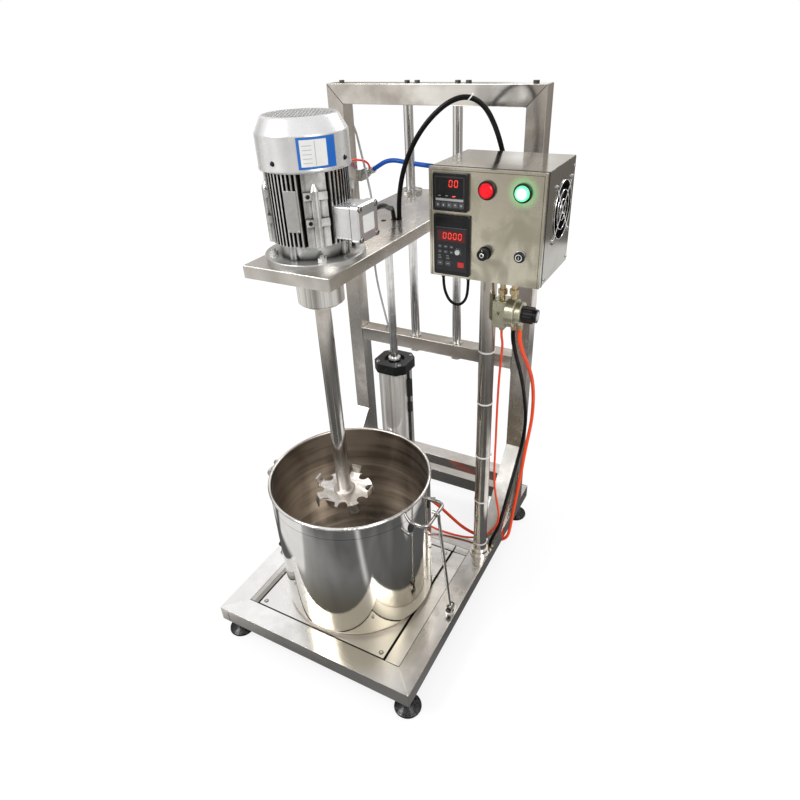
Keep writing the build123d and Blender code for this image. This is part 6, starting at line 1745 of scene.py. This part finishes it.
# %% Front seam and tray border lines
base_low, base_high = corners("base_side_rails")
lines = Shape()
weld(lines, (base_low.x + 0.026, base_low.y, base_low.z), (base_low.x + 0.026, base_low.y, base_high.z),
     (0, -1, 0), 0.0014)
border_low, border_high = corners("tray_frame")
x0, x1, y0, y1 = border_low.x, border_high.x, border_low.y, border_high.y
for start, end, width in (((x1, y0), (x1, y1), 0.0016), ((x0, y1), (x1, y1), 0.0012),
                          ((x0, y0), (x0, y1), 0.0006)):
    weld(lines, (*start, border_high.z), (*end, border_high.z), (0, 0, 1), width)
lines.piece("base_weld_lines", weld_brown, "satin_stainless")
print("rails", [round(v, 4) for v in (*base_low, *base_high)], "bars", round(bars_low.x, 4),
      round(bars_high.x, 4))

# %% [markdown]
# The lifting cylinder is a bright drawn tube between two black end caps. A black sensor rail with two small
# switches runs down its right side, and four socket screws hold the upper cap.

# %% Cylinder details
barrel_low, barrel_high = corners("cylinder_barrel")
barrel_x, barrel_y = middle_of("cylinder_barrel")[:2]
barrel_radius = (barrel_high.x - barrel_low.x) / 2
cap_high = corners("cylinder_head")[1]
details, sockets = Shape(), Shape()
cap_screw_radius = 0.0455
for at in ring_of(4, cap_screw_radius, (barrel_x, barrel_y, cap_high.z), 45.0):
    sockets.hoop([(0.0042, -0.0005), (0.0042, 0.0016), (0.0036, 0.0022), (0.0022, 0.0022), (0.002, 0.0006),
                  (0.002, -0.0005)], at, (0, 0, 1), 24)
sockets.piece("cylinder_cap_screws", zinc, "zinc_steel")
out, across = heading(radians(-14.0))
foot = Vector((barrel_x, barrel_y, 0.0)) + out * (barrel_radius + 0.0002)
for low, high, half, depth in ((0.3, 0.672, 0.0035, 0.004), (0.598, 0.65, 0.0062, 0.0105),
                               (0.548, 0.578, 0.0052, 0.009)):
    sides = ((-half, low), (half, low), (half, high), (-half, high))
    details.push([foot + across * w + Vector((0, 0, h)) for w, h in sides], out * depth, 0.001)
details.piece("cylinder_sensors", black_plastic, "black_plastic")

# %% [markdown]
# Each mounting pad of the motor has two lugs with a small black screw. They repeat round the motor's axis,
# so one loop places them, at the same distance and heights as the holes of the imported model.

# %% Lug screws
lug_screws = Shape()
lug_side, lug_out = -0.014, -0.0842
for quarter in range(4):
    out, across = heading(radians(90 * quarter + 45))
    for level in (1.151, 1.198):
        at = Vector((motor_axis.x, motor_axis.y, level)) + out * lug_side + across * lug_out
        lug_screws.spin([(0.0036, -0.004), (0.0036, -0.0002), (0.0031, 0.0003), (0.0019, 0.0003),
                         (0.0018, -0.0012), (0.0, -0.0012)], at, -across, 20)
lug_screws.piece("pad_screws", black_screws_and_hole_shade, "zinc_steel", "carriage")

# %% [markdown]
# A few small things still help: dark recesses of painted shade in the tray's corner screws, socket screws in
# dark counterbores of painted shade in the two bushing flanges, and at each end of the pail's handles a rivet
# beside a dark plate that is painted shade of the handle's mounting.

# %% Tray, bushing and handle details
# The dark rings and hexagons in the tray's corner screws are painted shade.
tray_marks = Shape()
for x in (tray_low.x + 0.015, tray_high.x - 0.015):
    for y in (tray_low.y + 0.015, tray_high.y - 0.015):
        tray_marks.hoop([(0.0044, 0.0), (0.0062, 0.0), (0.0062, 0.0003), (0.0044, 0.0003)],
                        (x, y, tray_high.z), (0, 0, 1), 24)
        tray_marks.spin([(0.0019, 0.0), (0.0019, 0.001), (0.0, 0.001)], (x, y, tray_high.z), (0, 0, 1), 6)
tray_marks.piece("tray_screw_recesses", black_screws_and_hole_shade, "black_plastic")
# The dark counterbores round the bushing screws are painted shade.
flange_sockets, flange_holes = Shape(), Shape()
for side in (-1, 1):
    centre = spot(side * 0.0684, 0.3425, 1.074)
    for at in ring_of(6, 0.0255, centre, 30.0):
        flange_holes.hoop([(0.0031, -0.0046), (0.0044, -0.0046), (0.0044, -0.0002), (0.0031, -0.0002)], at,
                          (0, 0, 1), 16)
        flange_sockets.hoop([(0.0016, -0.0046), (0.0036, -0.0046), (0.0036, -0.0008), (0.0032, -0.0004),
                             (0.0018, -0.0004)], at, (0, 0, 1), 16)
flange_holes.piece("bushing_screw_holes", black_screws_and_hole_shade, "black_plastic", "carriage")
flange_sockets.piece("bushing_screws", black_screws_and_hole_shade, "zinc_steel", "carriage")
# The dark plate at each end of a handle is painted shade of the handle's mounting.
mount_shade_plates, rivets = Shape(), Shape()
for side in (-1, 1):
    for end in (-1, 1):
        rim, low = 0.204, -0.016
        swing = atan2(end * 0.048, side * (rim * rim - 0.048 * 0.048) ** 0.5)
        out, across = heading(swing)
        foot = Vector((pail_axis.x, pail_axis.y, 0.44)) + out * (rim - 0.0012)
        outline = [foot + across * (0.0092 * u) + Vector((0, 0, low + 0.015 * w)) for u, w in circle(20)]
        mount_shade_plates.push(outline, out * 0.0034, 0.0008)
        away = heading(swing + side * end * 0.095)[0]
        rivets.spin([(0.0042, 0.0), (0.0042, 0.01), (0.005, 0.0104), (0.005, 0.014), (0.0042, 0.015),
                     (0.0, 0.0152)], Vector((pail_axis.x, pail_axis.y, 0.424)) + away * (rim - 0.001), away,
                    20)
mount_shade_plates.piece("handle_shade_plates", black_anodised_and_shade, "black_plastic")
rivets.piece("handle_rivets", dull_chrome, "polished_stainless")
